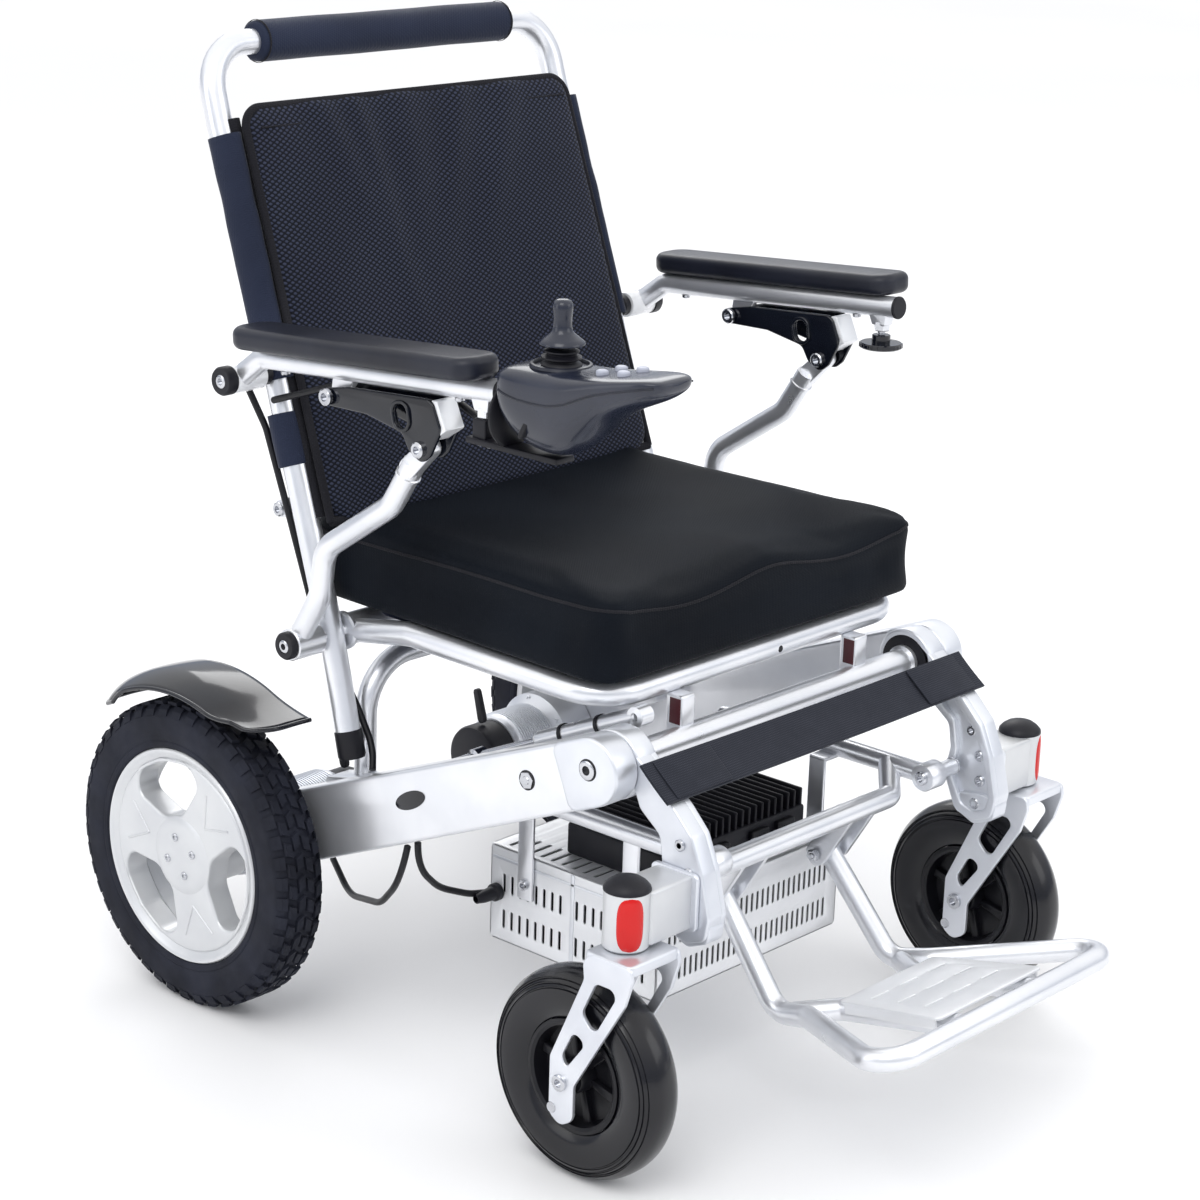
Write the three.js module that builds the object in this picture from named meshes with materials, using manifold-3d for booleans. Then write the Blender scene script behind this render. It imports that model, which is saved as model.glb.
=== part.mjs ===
// A folding power wheelchair, in millimetres.
// +Z is up, the chair faces -Y, and its user's right hand side is -X.
// The origin lies on the floor, in the middle of the chair's length and width.
import * as THREE from 'three';
import { mergeVertices } from 'three/addons/utils/BufferGeometryUtils.js';
import Module from 'manifold-3d';

const wasm = await Module();
wasm.setup();

// ---- Driving dimensions -------------------------------------------------
// Places in this file have the rear axle at Y = 260; the whole chair is then moved to its origin.
const ORIGIN_SHIFT = 53;
const GAP = 0.4;
const PIN_RADIUS = 6;
const PIN_BORE = 6.6;

const REAR_AXLE = { x: 300, y: 260, z: 158.75 };
const REAR_TYRE = { radius: 158.75, width: 57, bead: 112 };
const REAR_RIM_RADIUS = 111.4;

const CASTER_STEM = { x: 299, y: -310 };
const CASTER_AXLE = { y: -268, z: 100 };
const CASTER_TYRE = { radius: 100, width: 46, bead: 55 };

const BACK_PIVOT = { y: 130, z: 406 };
const ARM_PIVOT = { y: 212, z: 651 };
const LEVER_PIVOT = { y: 72, z: 660.5 };
const LINK_PIN = { y: -47, z: 633 };
const FRONT_PIVOT = { y: -228, z: 365 };
const SUBFRAME_PIVOT = { y: -296, z: 272 };
const FOOTREST_PIVOT = { y: -239, z: 200 };

const BEAM = { inside: 232, outside: 262, height: 60 };
const BRACKET = { inside: 206, outside: 231.5 };
const SEAT_RAIL = { x: 217.5, radius: 12 };
const BACK_TUBE_RADIUS = 12.5;
const ARM_X = 287;
const ARM_TUBE_RADIUS = 11;
const ARM_BEND = { y: 175, z: 678 };
const ARM_RISE = THREE.MathUtils.degToRad(4);
const FRONT_LUG = { forwards: 290, drop: 19, boss: 6 };
const PAD = { inside: 272, outside: 326, rear: -12, front: 304, under: 11.4, top: 33 };
const FOOT_TUBE_RADIUS = 11;
const FOOT_PLATE_TILT = Math.atan2(28, 133);
const FOOT_PLATE = { rear: -379, front: -500, rearHalf: 74, frontHalf: 82, under: 130 };
const STICK = { x: -ARM_X, y: -204, z: 735 };

// ---- Materials ----------------------------------------------------------
const finish = (color, roughness, metalness) =>
  new THREE.MeshStandardMaterial({ color, roughness, metalness, flatShading: true });
const silver = () => finish(0xcdd0d6, 0.35, 0.85);
const rimPaint = () => finish(0xe4e4e2, 0.45, 0.1);
const tyreRubber = () => finish(0x17181b, 0.8, 0);
const glossBlack = () => finish(0x0b0c10, 0.15, 0);
const mattBlack = () => finish(0x15161a, 0.6, 0);
const fabric = () => finish(0x161a2b, 0.95, 0);
const webbing = () => finish(0x333339, 0.95, 0);
const slate = () => finish(0x4a5160, 0.45, 0);

// ---- Solids -------------------------------------------------------------
function solidOf(geometry) {
  const bare = geometry.clone();
  bare.deleteAttribute('normal');
  bare.deleteAttribute('uv');
  const merged = mergeVertices(bare, 1e-3);
  return new wasm.Manifold(new wasm.Mesh({
    numProp: 3,
    vertProperties: new Float32Array(merged.attributes.position.array),
    triVerts: new Uint32Array(merged.index.array),
  }));
}

function geometryOf(solid) {
  const mesh = solid.getMesh();
  const geometry = new THREE.BufferGeometry();
  geometry.setAttribute('position', new THREE.BufferAttribute(mesh.vertProperties, 3));
  geometry.setIndex(new THREE.BufferAttribute(mesh.triVerts, 1));
  geometry.computeVertexNormals();
  return geometry;
}

const join = (...solids) => solids.reduce((whole, piece) => whole.add(piece));
const cut = (solid, ...tools) => tools.reduce((left, tool) => left.subtract(tool), solid);

function box(x, y, z) {
  const geometry = new THREE.BoxGeometry(x[1] - x[0], y[1] - y[0], z[1] - z[0]);
  geometry.translate((x[0] + x[1]) / 2, (y[0] + y[1]) / 2, (z[0] + z[1]) / 2);
  return solidOf(geometry);
}

// A box between two X values on one side of the chair, where side is -1 or 1.
const sideBox = (side, x, y, z) => box([side * x[0], side * x[1]].sort((a, b) => a - b), y, z);

// A round bar along X, on one side of the chair.
function bar(side, x, place, radius, sides = 12) {
  const geometry = new THREE.CylinderGeometry(radius, radius, x[1] - x[0], sides);
  geometry.rotateZ(Math.PI / 2);
  geometry.translate(side * (x[0] + x[1]) / 2, place.y, place.z);
  return solidOf(geometry);
}

function post(x, y, z, radius, sides = 14) {
  const geometry = new THREE.CylinderGeometry(radius, radius, z[1] - z[0], sides);
  geometry.rotateX(Math.PI / 2);
  geometry.translate(x, y, (z[0] + z[1]) / 2);
  return solidOf(geometry);
}

// A lathed body about X. The profile holds [radius, distance outwards along the axle].
function turnedAlongX(side, profile, segments) {
  const points = profile.map(([radius, along]) => new THREE.Vector2(radius, along));
  const geometry = new THREE.LatheGeometry(points, segments);
  geometry.rotateZ(-Math.PI / 2);
  const solid = orient(geometry);
  return side > 0 ? solid : solid.rotate([0, 0, 180]);
}

function turnedAlongZ(profile, segments) {
  const points = profile.map(([radius, height]) => new THREE.Vector2(radius, height));
  const geometry = new THREE.LatheGeometry(points, segments);
  geometry.rotateX(Math.PI / 2);
  return orient(geometry);
}

// A lathe profile drawn downwards comes out inside out, so its triangles are turned round.
function orient(geometry) {
  const solid = solidOf(geometry);
  if (solid.volume() > 0) return solid;
  const index = geometry.index.array;
  for (let i = 0; i < index.length; i += 3) [index[i], index[i + 1]] = [index[i + 1], index[i]];
  return solidOf(geometry);
}

// ---- Tubes --------------------------------------------------------------
// A path that is swept through exactly the points given.
class PointPath extends THREE.Curve {
  constructor(points) {
    super();
    this.points = points;
  }

  getPointAt(share, target = new THREE.Vector3()) {
    return target.copy(this.points[Math.round(share * (this.points.length - 1))]);
  }

  getTangentAt(share, target = new THREE.Vector3()) {
    const last = this.points.length - 1;
    const at = Math.round(share * last);
    const here = this.points[at];
    const into = here.clone().sub(this.points[Math.max(at - 1, 0)]).normalize();
    const away = this.points[Math.min(at + 1, last)].clone().sub(here).normalize();
    return target.copy(into).add(away).normalize();
  }
}

// Replaces each inner corner of a path by an arc of the given radius.
function roundCorners(corners, bendRadius, stepDegrees = 30) {
  const path = [corners[0]];
  for (let i = 1; i < corners.length - 1; i++) {
    const before = corners[i - 1].clone().sub(corners[i]).normalize();
    const after = corners[i + 1].clone().sub(corners[i]).normalize();
    const turn = Math.PI - before.angleTo(after);
    const start = corners[i].clone().addScaledVector(before, bendRadius * Math.tan(turn / 2));
    const inwards = before.clone().add(after).normalize();
    const centre = corners[i].clone().addScaledVector(inwards, bendRadius / Math.cos(turn / 2));
    const spoke = start.clone().sub(centre);
    const axis = after.clone().cross(before).normalize();
    const steps = Math.max(1, Math.ceil(THREE.MathUtils.radToDeg(turn) / stepDegrees));
    for (let k = 0; k <= steps; k++) {
      path.push(spoke.clone().applyAxisAngle(axis, turn * k / steps).add(centre));
    }
  }
  path.push(corners[corners.length - 1]);
  return path;
}

function sweep(points, shape) {
  const geometry = new THREE.ExtrudeGeometry(shape, {
    steps: points.length - 1,
    extrudePath: new PointPath(points),
  });
  return orientSoup(geometry);
}

function orientSoup(geometry) {
  const solid = solidOf(geometry);
  if (solid.volume() > 0) return solid;
  const place = geometry.attributes.position;
  for (let i = 0; i < place.count; i += 3) {
    const first = new THREE.Vector3().fromBufferAttribute(place, i);
    const second = new THREE.Vector3().fromBufferAttribute(place, i + 1);
    place.setXYZ(i, second.x, second.y, second.z);
    place.setXYZ(i + 1, first.x, first.y, first.z);
  }
  return solidOf(geometry);
}

function circle(radius, sides) {
  const ring = [];
  for (let i = 0; i < sides; i++) {
    const angle = 2 * Math.PI * i / sides;
    ring.push(new THREE.Vector2(radius * Math.cos(angle), radius * Math.sin(angle)));
  }
  return new THREE.Shape(ring);
}

const vector = ([x, y, z]) => new THREE.Vector3(x, y, z);

function tube(corners, radius, bendRadius = 40, sides = 10) {
  return sweep(roundCorners(corners.map(vector), bendRadius), circle(radius, sides));
}

// Places a list of [x, y, z] corners on one side, then mirrors them back to the other.
const acrossChair = (corners) =>
  [...corners, ...corners.map(([x, y, z]) => [-x, y, z]).reverse()];

// ---- Plates that stand in the YZ plane -----------------------------------
const inPlane = (place) => [place.y, place.z];

function plate(side, x, shape) {
  const geometry = new THREE.ExtrudeGeometry(shape, { depth: x[1] - x[0], bevelEnabled: false });
  geometry.applyMatrix4(new THREE.Matrix4().makeBasis(
    new THREE.Vector3(0, 1, 0), new THREE.Vector3(0, 0, 1), new THREE.Vector3(1, 0, 0)));
  geometry.translate(side > 0 ? x[0] : -x[1], 0, 0);
  return orientSoup(geometry);
}

// The outline of a strap round two circles.
function strapShape([y0, z0], r0, [y1, z1], r1, steps = 8) {
  const along = Math.atan2(z1 - z0, y1 - y0);
  const lean = Math.acos((r0 - r1) / Math.hypot(y1 - y0, z1 - z0));
  const ring = [];
  for (let k = 0; k <= steps; k++) {
    const angle = along + lean + (2 * Math.PI - 2 * lean) * k / steps;
    ring.push(new THREE.Vector2(y0 + r0 * Math.cos(angle), z0 + r0 * Math.sin(angle)));
  }
  for (let k = 0; k <= steps; k++) {
    const angle = along - lean + 2 * lean * k / steps;
    ring.push(new THREE.Vector2(y1 + r1 * Math.cos(angle), z1 + r1 * Math.sin(angle)));
  }
  return new THREE.Shape(ring);
}

// A polygon whose corners are rounded.
function roundedShape(corners, radius, stepDegrees = 30) {
  const loop = corners.map(([y, z]) => new THREE.Vector3(y, z, 0));
  const ring = [];
  loop.forEach((corner, i) => {
    const before = loop[(i + loop.length - 1) % loop.length];
    const after = loop[(i + 1) % loop.length];
    const reach = Math.min(before.distanceTo(corner), after.distanceTo(corner)) * 0.45;
    const turn = Math.PI - before.clone().sub(corner).angleTo(after.clone().sub(corner));
    const fitted = Math.min(radius, reach / Math.tan(turn / 2));
    const arc = roundCorners([before, corner, after], fitted, stepDegrees).slice(1, -1);
    ring.push(...arc.map((point) => new THREE.Vector2(point.x, point.y)));
  });
  return new THREE.Shape(ring);
}

// ---- The assembly -------------------------------------------------------
const chair = new THREE.Group();
chair.position.y = ORIGIN_SHIFT;

function add(name, solid, material) {
  const mesh = new THREE.Mesh(geometryOf(solid), material);
  mesh.name = name;
  chair.add(mesh);
  return mesh;
}

const SIDES = [['right', -1], ['left', 1]];

// ---- Rear frame ---------------------------------------------------------
function beam(side) {
  const half = BEAM.height / 2;
  const axle = [REAR_AXLE.y, REAR_AXLE.z];
  const outline = strapShape(axle, half + 8, inPlane(FRONT_PIVOT), half + 2);
  const body = plate(side, [BEAM.inside, BEAM.outside], outline);
  return cut(body, bar(side, [BEAM.inside - 1, BEAM.outside + 1], REAR_AXLE, 18));
}

function rearArch() {
  const y = 118;
  const foot = 208;
  const arch = tube(acrossChair([[foot, y, 250], [foot, y, 372]]), 11, 55);
  const gusset = roundedShape([[92, 240], [100, 262], [150, 250], [150, 214]], 5);
  const gussets = SIDES.map(([, side]) => plate(side, [200, BEAM.inside - GAP], gusset));
  return join(arch, ...gussets);
}

function seatFrame() {
  const rail = SEAT_RAIL.x;
  const rails = tube(acrossChair([[rail, 128, 405], [rail, 46, 420], [rail, -204, 417]]), SEAT_RAIL.radius, 44);
  const rearTube = bar(1, [-229, 229], BACK_PIVOT, 16, 14);
  const pins = SIDES.map(([, side]) => bar(side, [220, 296], BACK_PIVOT, PIN_RADIUS));
  return join(rails, rearTube, ...pins);
}

function frontCrossTube() {
  const tubeEnd = BRACKET.inside - GAP;
  const cross = bar(1, [-tubeEnd, tubeEnd], FRONT_PIVOT, 14);
  const posts = SIDES.map(([, side]) => sideBox(side, [120, 140], [-236, -196], [FRONT_PIVOT.z, 404]));
  const pins = SIDES.map(([, side]) => bar(side, [200, BEAM.inside - GAP], FRONT_PIVOT, PIN_RADIUS));
  return join(cross, ...posts, ...pins);
}

function cushion() {
  const top = roundedShape([[-235, -221], [235, -221], [227.5, 195], [-227.5, 195]], 26, 30);
  const geometry = new THREE.ExtrudeGeometry(top, {
    depth: 58, bevelThickness: 8, bevelSize: 8, bevelOffset: -8, bevelSegments: 2,
  });
  geometry.translate(0, 0, 440);
  return orientSoup(geometry);
}

// The gas spring lies beside the right beam, and its front eye is on a stub from the seat post.
function gasSpring() {
  const rear = [-188, -18, 306];
  const middle = [-188, -100, 344];
  const front = [-188, -222, 400];
  const rod = tube([rear, middle], 4, 1, 12);
  const cylinder = tube([middle, front], 9, 1, 16);
  const rearLug = sideBox(-1, [184, BEAM.inside - GAP], [-25, -11], [296, 309]);
  return join(rod, cylinder, rearLug);
}

function motor(side) {
  const outer = BEAM.inside - GAP - REAR_AXLE.x;
  const shaft = 8.5;
  return turnedAlongX(side, [
    [0, -212], [36, -212], [36, -175], [41, -175], [41, -118], [51, -112],
    [51, outer], [17, outer], [17, -38], [shaft, -38], [shaft, -8], [0, -8],
  ], 18).translate([side * REAR_AXLE.x, REAR_AXLE.y, REAR_AXLE.z]);
}

// The lever that lets the brake go stands on the flat of the motor's brake housing.
function brakeLever(side) {
  const foot = [REAR_AXLE.y, REAR_AXLE.z + 43];
  const shape = strapShape(foot, 5, [REAR_AXLE.y + 8, REAR_AXLE.z + 72], 4, 5);
  return plate(side, [100, 106], shape);
}

function fender(side) {
  const outer = 187;
  const sheet = 4;
  const from = THREE.MathUtils.degToRad(47);
  const to = THREE.MathUtils.degToRad(127);
  const steps = 14;
  const above = [];
  const below = [];
  for (let k = 0; k <= steps; k++) {
    const angle = from + (to - from) * k / steps;
    const lip = 14 * Math.max(0, (k / steps - 0.8) / 0.2) ** 2;
    const tuck = -5 * Math.max(0, (0.15 - k / steps) / 0.15) ** 2;
    const reach = outer + lip + tuck;
    const at = (radius) => new THREE.Vector2(
      REAR_AXLE.y + radius * Math.cos(angle), REAR_AXLE.z + radius * Math.sin(angle));
    above.push(at(reach));
    below.push(at(reach - sheet));
  }
  const guard = plate(side, [262.6, 338], new THREE.Shape([...above, ...below.reverse()]));
  const stay = plate(side, [262.6, 266], roundedShape([[236, 172], [284, 172], [276, 345], [244, 345]], 4));
  return join(guard, stay);
}

for (const [name, side] of SIDES) {
  add(`beam_${name}`, beam(side), silver());
  add(`motor_${name}`, motor(side), silver());
  add(`brake_lever_${name}`, brakeLever(side), mattBlack());
  add(`fender_${name}`, fender(side), glossBlack());
}
add('rear_arch', rearArch(), silver());
add('seat_frame', seatFrame(), silver());
add('front_cross_tube', frontCrossTube(), silver());
add('cushion', cushion(), fabric());
add('gas_spring', gasSpring(), silver());

// ---- Rear wheels --------------------------------------------------------
function rearTyre(side) {
  const { radius, width, bead } = REAR_TYRE;
  const half = width / 2;
  return turnedAlongX(side, [
    [bead, 2 - half], [radius - 28, -half], [radius - 14, 0.5 - half], [radius - 4, 7 - half],
    [radius, 17 - half], [radius, half - 17],
    [radius - 4, half - 7], [radius - 14, half - 0.5], [radius - 28, half], [bead, half - 2], [bead, 2 - half],
  ], 28);
}

function rearRim(side) {
  const outer = REAR_RIM_RADIUS;
  const disc = turnedAlongX(side, [
    [0, 29], [40, 28.5], [96, 24], [103, 25], [107, 27.5], [outer, 27.5], [outer, -25], [104, -25],
    [100, -2], [40, -4], [36, -34], [0, -34],
  ], 28);
  const windows = [72, 192, 312].map((degrees) => {
    const angle = THREE.MathUtils.degToRad(degrees);
    const along = [Math.cos(angle), Math.sin(angle)];
    const across = [-along[1], along[0]];
    const place = (out, over) => [out * along[0] + over * across[0], out * along[1] + over * across[1]];
    const half = [[44, 10], [76, 46], [95, 30]];
    const outline = [
      ...half.map(([out, over]) => place(out, -over)), place(99, 0),
      ...half.reverse().map(([out, over]) => place(out, over))];
    return plate(side, [-40, 40], roundedShape(outline, 16, 50));
  });
  return cut(disc, ...windows, bar(side, [-40, -5], { y: 0, z: 0 }, 9.2));
}

for (const [name, side] of SIDES) {
  const centre = [side * REAR_AXLE.x, REAR_AXLE.y, REAR_AXLE.z];
  add(`rear_tyre_${name}`, rearTyre(side), tyreRubber()).position.set(...centre);
  add(`rear_rim_${name}`, rearRim(side), rimPaint()).position.set(...centre);
}

// ---- Front brackets and casters -----------------------------------------
function frontBracket(side) {
  const outline = [
    [-262, 332], [-286, 314], [-290, 290], [-284, 262], [-300, 226], [-322, 220], [-344, 228],
    [-348, 250], [-338, 290], [-324, 322], [-304, 342], [-262, 376], [-232, 398],
  ];
  const limb = plate(side, [BRACKET.inside, BRACKET.outside], roundedShape(outline, 12));
  const boss = bar(side, [BRACKET.inside, BRACKET.outside], FRONT_PIVOT, 33, 20);
  const bore = bar(side, [BRACKET.inside - 1, BRACKET.outside + 1], FRONT_PIVOT, PIN_BORE);
  const rib = plate(side, [BRACKET.inside + 5, BRACKET.inside + 7], roundedShape([
    [-268, 338], [-292, 318], [-296, 290], [-291, 262], [-306, 232], [-322, 228], [-338, 234],
    [-341, 250], [-331, 290], [-317, 318], [-298, 336], [-262, 366]], 8));
  return cut(join(limb, boss), bore, rib.translate([side * -7, 0, 0]));
}

function stemHousing(side) {
  const housing = post(side * CASTER_STEM.x, CASTER_STEM.y, [236, 291], 21);
  const dome = turnedAlongZ([[0, 289], [21.5, 289], [21.5, 293], [16, 299.5], [0, 302]], 14)
    .translate([side * CASTER_STEM.x, CASTER_STEM.y, 0]);
  const block = sideBox(side, [BRACKET.outside + GAP, 290], [-331, -289], [238, 289]);
  return join(housing, dome, block);
}

function casterFork(side) {
  const crown = box([-33, 33], [-36, 20], [224, 235]);
  const stem = post(0, 0, [232, 235.4], 12);
  const legs = [-1, 1].map((hand) => {
    const outline = [
      [-36, 234], [12, 234], [20, 224], [18, 208], [56, 122], [56, 66],
      [42, 57], [27, 66], [27, 100], [-30, 196], [-38, 222]];
    const windows = [
      [[-22, 208], [2, 208], [20, 172], [6, 158]],
      [[14, 146], [28, 156], [42, 126], [36, 116]],
    ];
    return cut(
      plate(hand, [29, 33], roundedShape(outline, 9)),
      ...windows.map((window) => plate(hand, [28, 34], roundedShape(window, 6))));
  });
  const axle = bar(1, [-33, 33], { y: CASTER_AXLE.y - CASTER_STEM.y, z: CASTER_AXLE.z }, 5, 16);
  return join(crown, stem, ...legs, axle);
}

function casterTyre() {
  const { radius, width, bead } = CASTER_TYRE;
  const half = width / 2;
  return turnedAlongX(1, [
    [bead, 6 - half], [radius - 18, -half], [radius - 6, 5 - half], [radius, 15 - half],
    [radius, half - 15], [radius - 6, half - 5], [radius - 18, half], [bead, half - 6], [bead, 6 - half],
  ], 24);
}

function casterHub() {
  const rimOuter = CASTER_TYRE.bead - 0.7;
  const half = 17;
  const ring = turnedAlongX(1, [
    [rimOuter, -half], [rimOuter, half], [46, half], [44, 0], [46, -half], [rimOuter, -half]], 24);
  const centre = bar(1, [-21, 21], { y: 0, z: 0 }, 15);
  const spokes = [0, 1, 2, 3, 4, 5].map((k) => box([-10, 10], [-3, 3], [8, 48]).rotate([60 * k, 0, 0]));
  return cut(join(ring, centre, ...spokes), bar(1, [-22, 22], { y: 0, z: 0 }, 5.7, 16));
}

for (const [name, side] of SIDES) {
  add(`front_bracket_${name}`, frontBracket(side), silver());
  add(`stem_housing_${name}`, stemHousing(side), silver());
  const stem = [side * CASTER_STEM.x, CASTER_STEM.y, 0];
  const axle = [side * CASTER_STEM.x, CASTER_AXLE.y, CASTER_AXLE.z];
  add(`caster_fork_${name}`, casterFork(side), silver()).position.set(...stem);
  add(`caster_tyre_${name}`, casterTyre(), glossBlack()).position.set(...axle);
  add(`caster_hub_${name}`, casterHub(), mattBlack()).position.set(...axle);
}

// The calf strap lies on the sloping front edges of the two brackets.
function calfStrap() {
  const length = 480;
  const width = 44;
  const thickness = 2.5;
  const strap = new THREE.BoxGeometry(length, width, thickness);
  strap.rotateX(Math.atan2(376 - 342, -262 + 304));
  strap.translate(0, -285, 362.6);
  return solidOf(strap);
}
add('calf_strap', calfStrap(), webbing());

// ---- Sub-frame with the battery box -------------------------------------
function subframe() {
  const link = 165;
  const links = SIDES.map(([, side]) => tube(
    [[side * link, -92, 272], [side * link, SUBFRAME_PIVOT.y - 6, SUBFRAME_PIVOT.z]], 10, 1));
  const cross = tube(acrossChair([[link, -246, 272], [138, -270, 250]]), 11, 14);
  const stubs = SIDES.map(([, side]) => bar(side, [link - 12, BRACKET.inside - GAP], SUBFRAME_PIVOT, 8));
  const lugs = SIDES.flatMap(([, side]) => [[62, 68], [96, 102]].map((x) =>
    plate(side, x, strapShape([-268, 248], 12, inPlane(FOOTREST_PIVOT), 12))));
  const footPins = SIDES.map(([, side]) => bar(side, [60, 104], FOOTREST_PIVOT, 4, 10));
  const hangers = SIDES.flatMap(([, side]) => [-176, -40].flatMap((y) => [
    sideBox(side, [138.5, link], [y - 10, y + 10], [262, 266]),
    sideBox(side, [138.5, 142.5], [y - 10, y + 10], [150, 266]),
  ]));
  const tail = SIDES.map(([, side]) => tube([[side * link, -92, 272], [side * link, -30, 266]], 10, 1));
  return join(...links, ...tail, cross, ...stubs, ...lugs, ...footPins, ...hangers);
}

const footPlateUnder = (y) => FOOT_PLATE.under + (FOOT_PLATE.rear - y) * Math.tan(FOOT_PLATE_TILT);

function footrestFrame() {
  const loop = tube(acrossChair([
    [82, -239, 200], [88, -318, 106], [94, -360, 117], [190, -514, 150],
  ]), FOOT_TUBE_RADIUS, 26);
  const bores = SIDES.map(([, side]) => bar(side, [58, 106], FOOTREST_PIVOT, 4.8, 10));
  const bearers = SIDES.map(([, side]) => {
    const under = (y) => footPlateUnder(y) - GAP - FOOT_TUBE_RADIUS / Math.cos(FOOT_PLATE_TILT);
    const corners = [[84, -335], [56, -372], [56, -508]].map(([x, y]) => [side * x, y, under(y)]);
    return tube(corners, FOOT_TUBE_RADIUS, 15);
  });
  return cut(join(loop, ...bearers), ...bores);
}

// The foot plate is a sheet tray whose side flanges are folded down.
function footPlate() {
  const { rear, front, rearHalf, frontHalf } = FOOT_PLATE;
  const sheet = 3;
  const skirt = 22;
  const top = roundedShape([[-rearHalf, rear], [rearHalf, rear], [frontHalf, front], [-frontHalf, front]], 6);
  const geometry = new THREE.ExtrudeGeometry(top, { depth: sheet, bevelEnabled: false });
  const flanges = SIDES.map(([, side]) => {
    const [near, far] = [rear - 8, front + 8];
    const inward = (frontHalf - rearHalf) / (rear - front);
    const edge = (y) => side * (rearHalf + (rear - y) * inward - 1);
    const strip = new THREE.Shape([
      new THREE.Vector2(edge(near), near), new THREE.Vector2(edge(far), far),
      new THREE.Vector2(edge(far) - side * 2.5, far), new THREE.Vector2(edge(near) - side * 2.5, near)]);
    const flange = new THREE.ExtrudeGeometry(strip, { depth: skirt, bevelEnabled: false });
    flange.translate(0, 0, 1 - skirt);
    return orientSoup(flange);
  });
  return join(orientSoup(geometry), ...flanges)
    .translate([0, -rear, 0])
    .rotate([-THREE.MathUtils.radToDeg(FOOT_PLATE_TILT), 0, 0])
    .translate([0, rear, footPlateUnder(rear)]);
}

const BOX = { x: 138, y: [-210, 10], z: [95, 195] };

function batteryBox() {
  return box([-BOX.x, BOX.x], BOX.y, BOX.z);
}

function controller() {
  const base = box([-105, 105], [-190, -60], [BOX.z[1] + GAP, 232]);
  const fins = [0, 1, 2, 3, 4, 5, 6].map((k) => box([-103, 103], [-186 + 18 * k, -180 + 18 * k], [230, 246]));
  return join(base, ...fins);
}

add('subframe', subframe(), silver());
add('battery_box', batteryBox(), silver());
add('controller', controller(), mattBlack());
add('footrest_frame', footrestFrame(), silver());
add('foot_plate', footPlate(), silver());

// ---- Backrest -----------------------------------------------------------
// The side tubes lean back and draw in towards the handle.
const backTube = [[243, 100, 290], [243, 130, 406], [239.5, 214, 651], [236, 298, 880], [235, 320, 950]];

function backFrame() {
  const frame = tube(acrossChair(backTube), BACK_TUBE_RADIUS, 48);
  const bores = SIDES.map(([, side]) => bar(side, [225, 262], BACK_PIVOT, PIN_BORE));
  return cut(frame, ...bores);
}

// The backrest leans back by this angle; its panel lies just in front of the tubes.
const BACK_LEAN = Math.atan2(298 - 130, 880 - 406);

function upholstery() {
  const low = 116;
  const high = 512;
  const outline = roundedShape([[-236, low], [236, low], [229, high], [-229, high]], 22, 20);
  const geometry = new THREE.ExtrudeGeometry(outline, {
    depth: 8, bevelThickness: 4, bevelSize: 4, bevelOffset: -4, bevelSegments: 1,
  });
  geometry.rotateX(Math.PI / 2);
  geometry.translate(0, -(BACK_TUBE_RADIUS + 8), 0);
  geometry.rotateX(-BACK_LEAN);
  geometry.translate(0, BACK_PIVOT.y, BACK_PIVOT.z);
  return orientSoup(geometry);
}

function handlePad() {
  const inner = BACK_TUBE_RADIUS + 0.8;
  return turnedAlongX(1, [
    [inner, -174], [20, -174], [21, -170], [21, 170], [20, 174], [inner, 174], [inner, -174],
  ], 16).translate([0, 320, 950]);
}

add('back_frame', backFrame(), silver());
add('upholstery', upholstery(), fabric());
add('handle_pad', handlePad(), fabric());

// ---- Arms ---------------------------------------------------------------
// A place in the arm's own plane: a distance forwards from its bend, and a height above its tube.
function alongArm(forwards, above) {
  return [
    ARM_BEND.y - forwards * Math.cos(ARM_RISE) + above * Math.sin(ARM_RISE),
    ARM_BEND.z + forwards * Math.sin(ARM_RISE) + above * Math.cos(ARM_RISE),
  ];
}

function armPivotPin(side) {
  return join(
    bar(side, [252.6, 261.5], ARM_PIVOT, 11, 14),
    bar(side, [256, 300], ARM_PIVOT, PIN_RADIUS),
    bar(side, [298.6, 311], ARM_PIVOT, 14, 16));
}

function armTube(side) {
  const front = alongArm(313, 0);
  const run = tube([
    [side * ARM_X, ARM_PIVOT.y, ARM_PIVOT.z], [side * ARM_X, ARM_BEND.y, ARM_BEND.z], [side * ARM_X, ...front],
  ], ARM_TUBE_RADIUS, 22);
  const sleeve = bar(side, [262, 298.2], ARM_PIVOT, 13.5, 14);
  const leverLug = plate(side, [283, 291], strapShape(alongArm(112, -4), 14, inPlane(LEVER_PIVOT), 8, 5));
  const leverPin = bar(side, [271, 303], LEVER_PIVOT, 4);
  const { forwards, drop, boss } = FRONT_LUG;
  const [y, z] = alongArm(forwards, -drop);
  const frontLug = plate(side, [281, 293], roundedShape(
    [alongArm(forwards - 13, -4), alongArm(forwards + 11, -4), [y - 8, z], [y + 8, z]], 2));
  const frontBoss = post(side * ARM_X, y, [z - boss, z + 3], 8.5);
  const bore = bar(side, [255, 305], ARM_PIVOT, PIN_BORE);
  return cut(join(run, sleeve, leverLug, leverPin, frontLug, frontBoss), bore);
}

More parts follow.
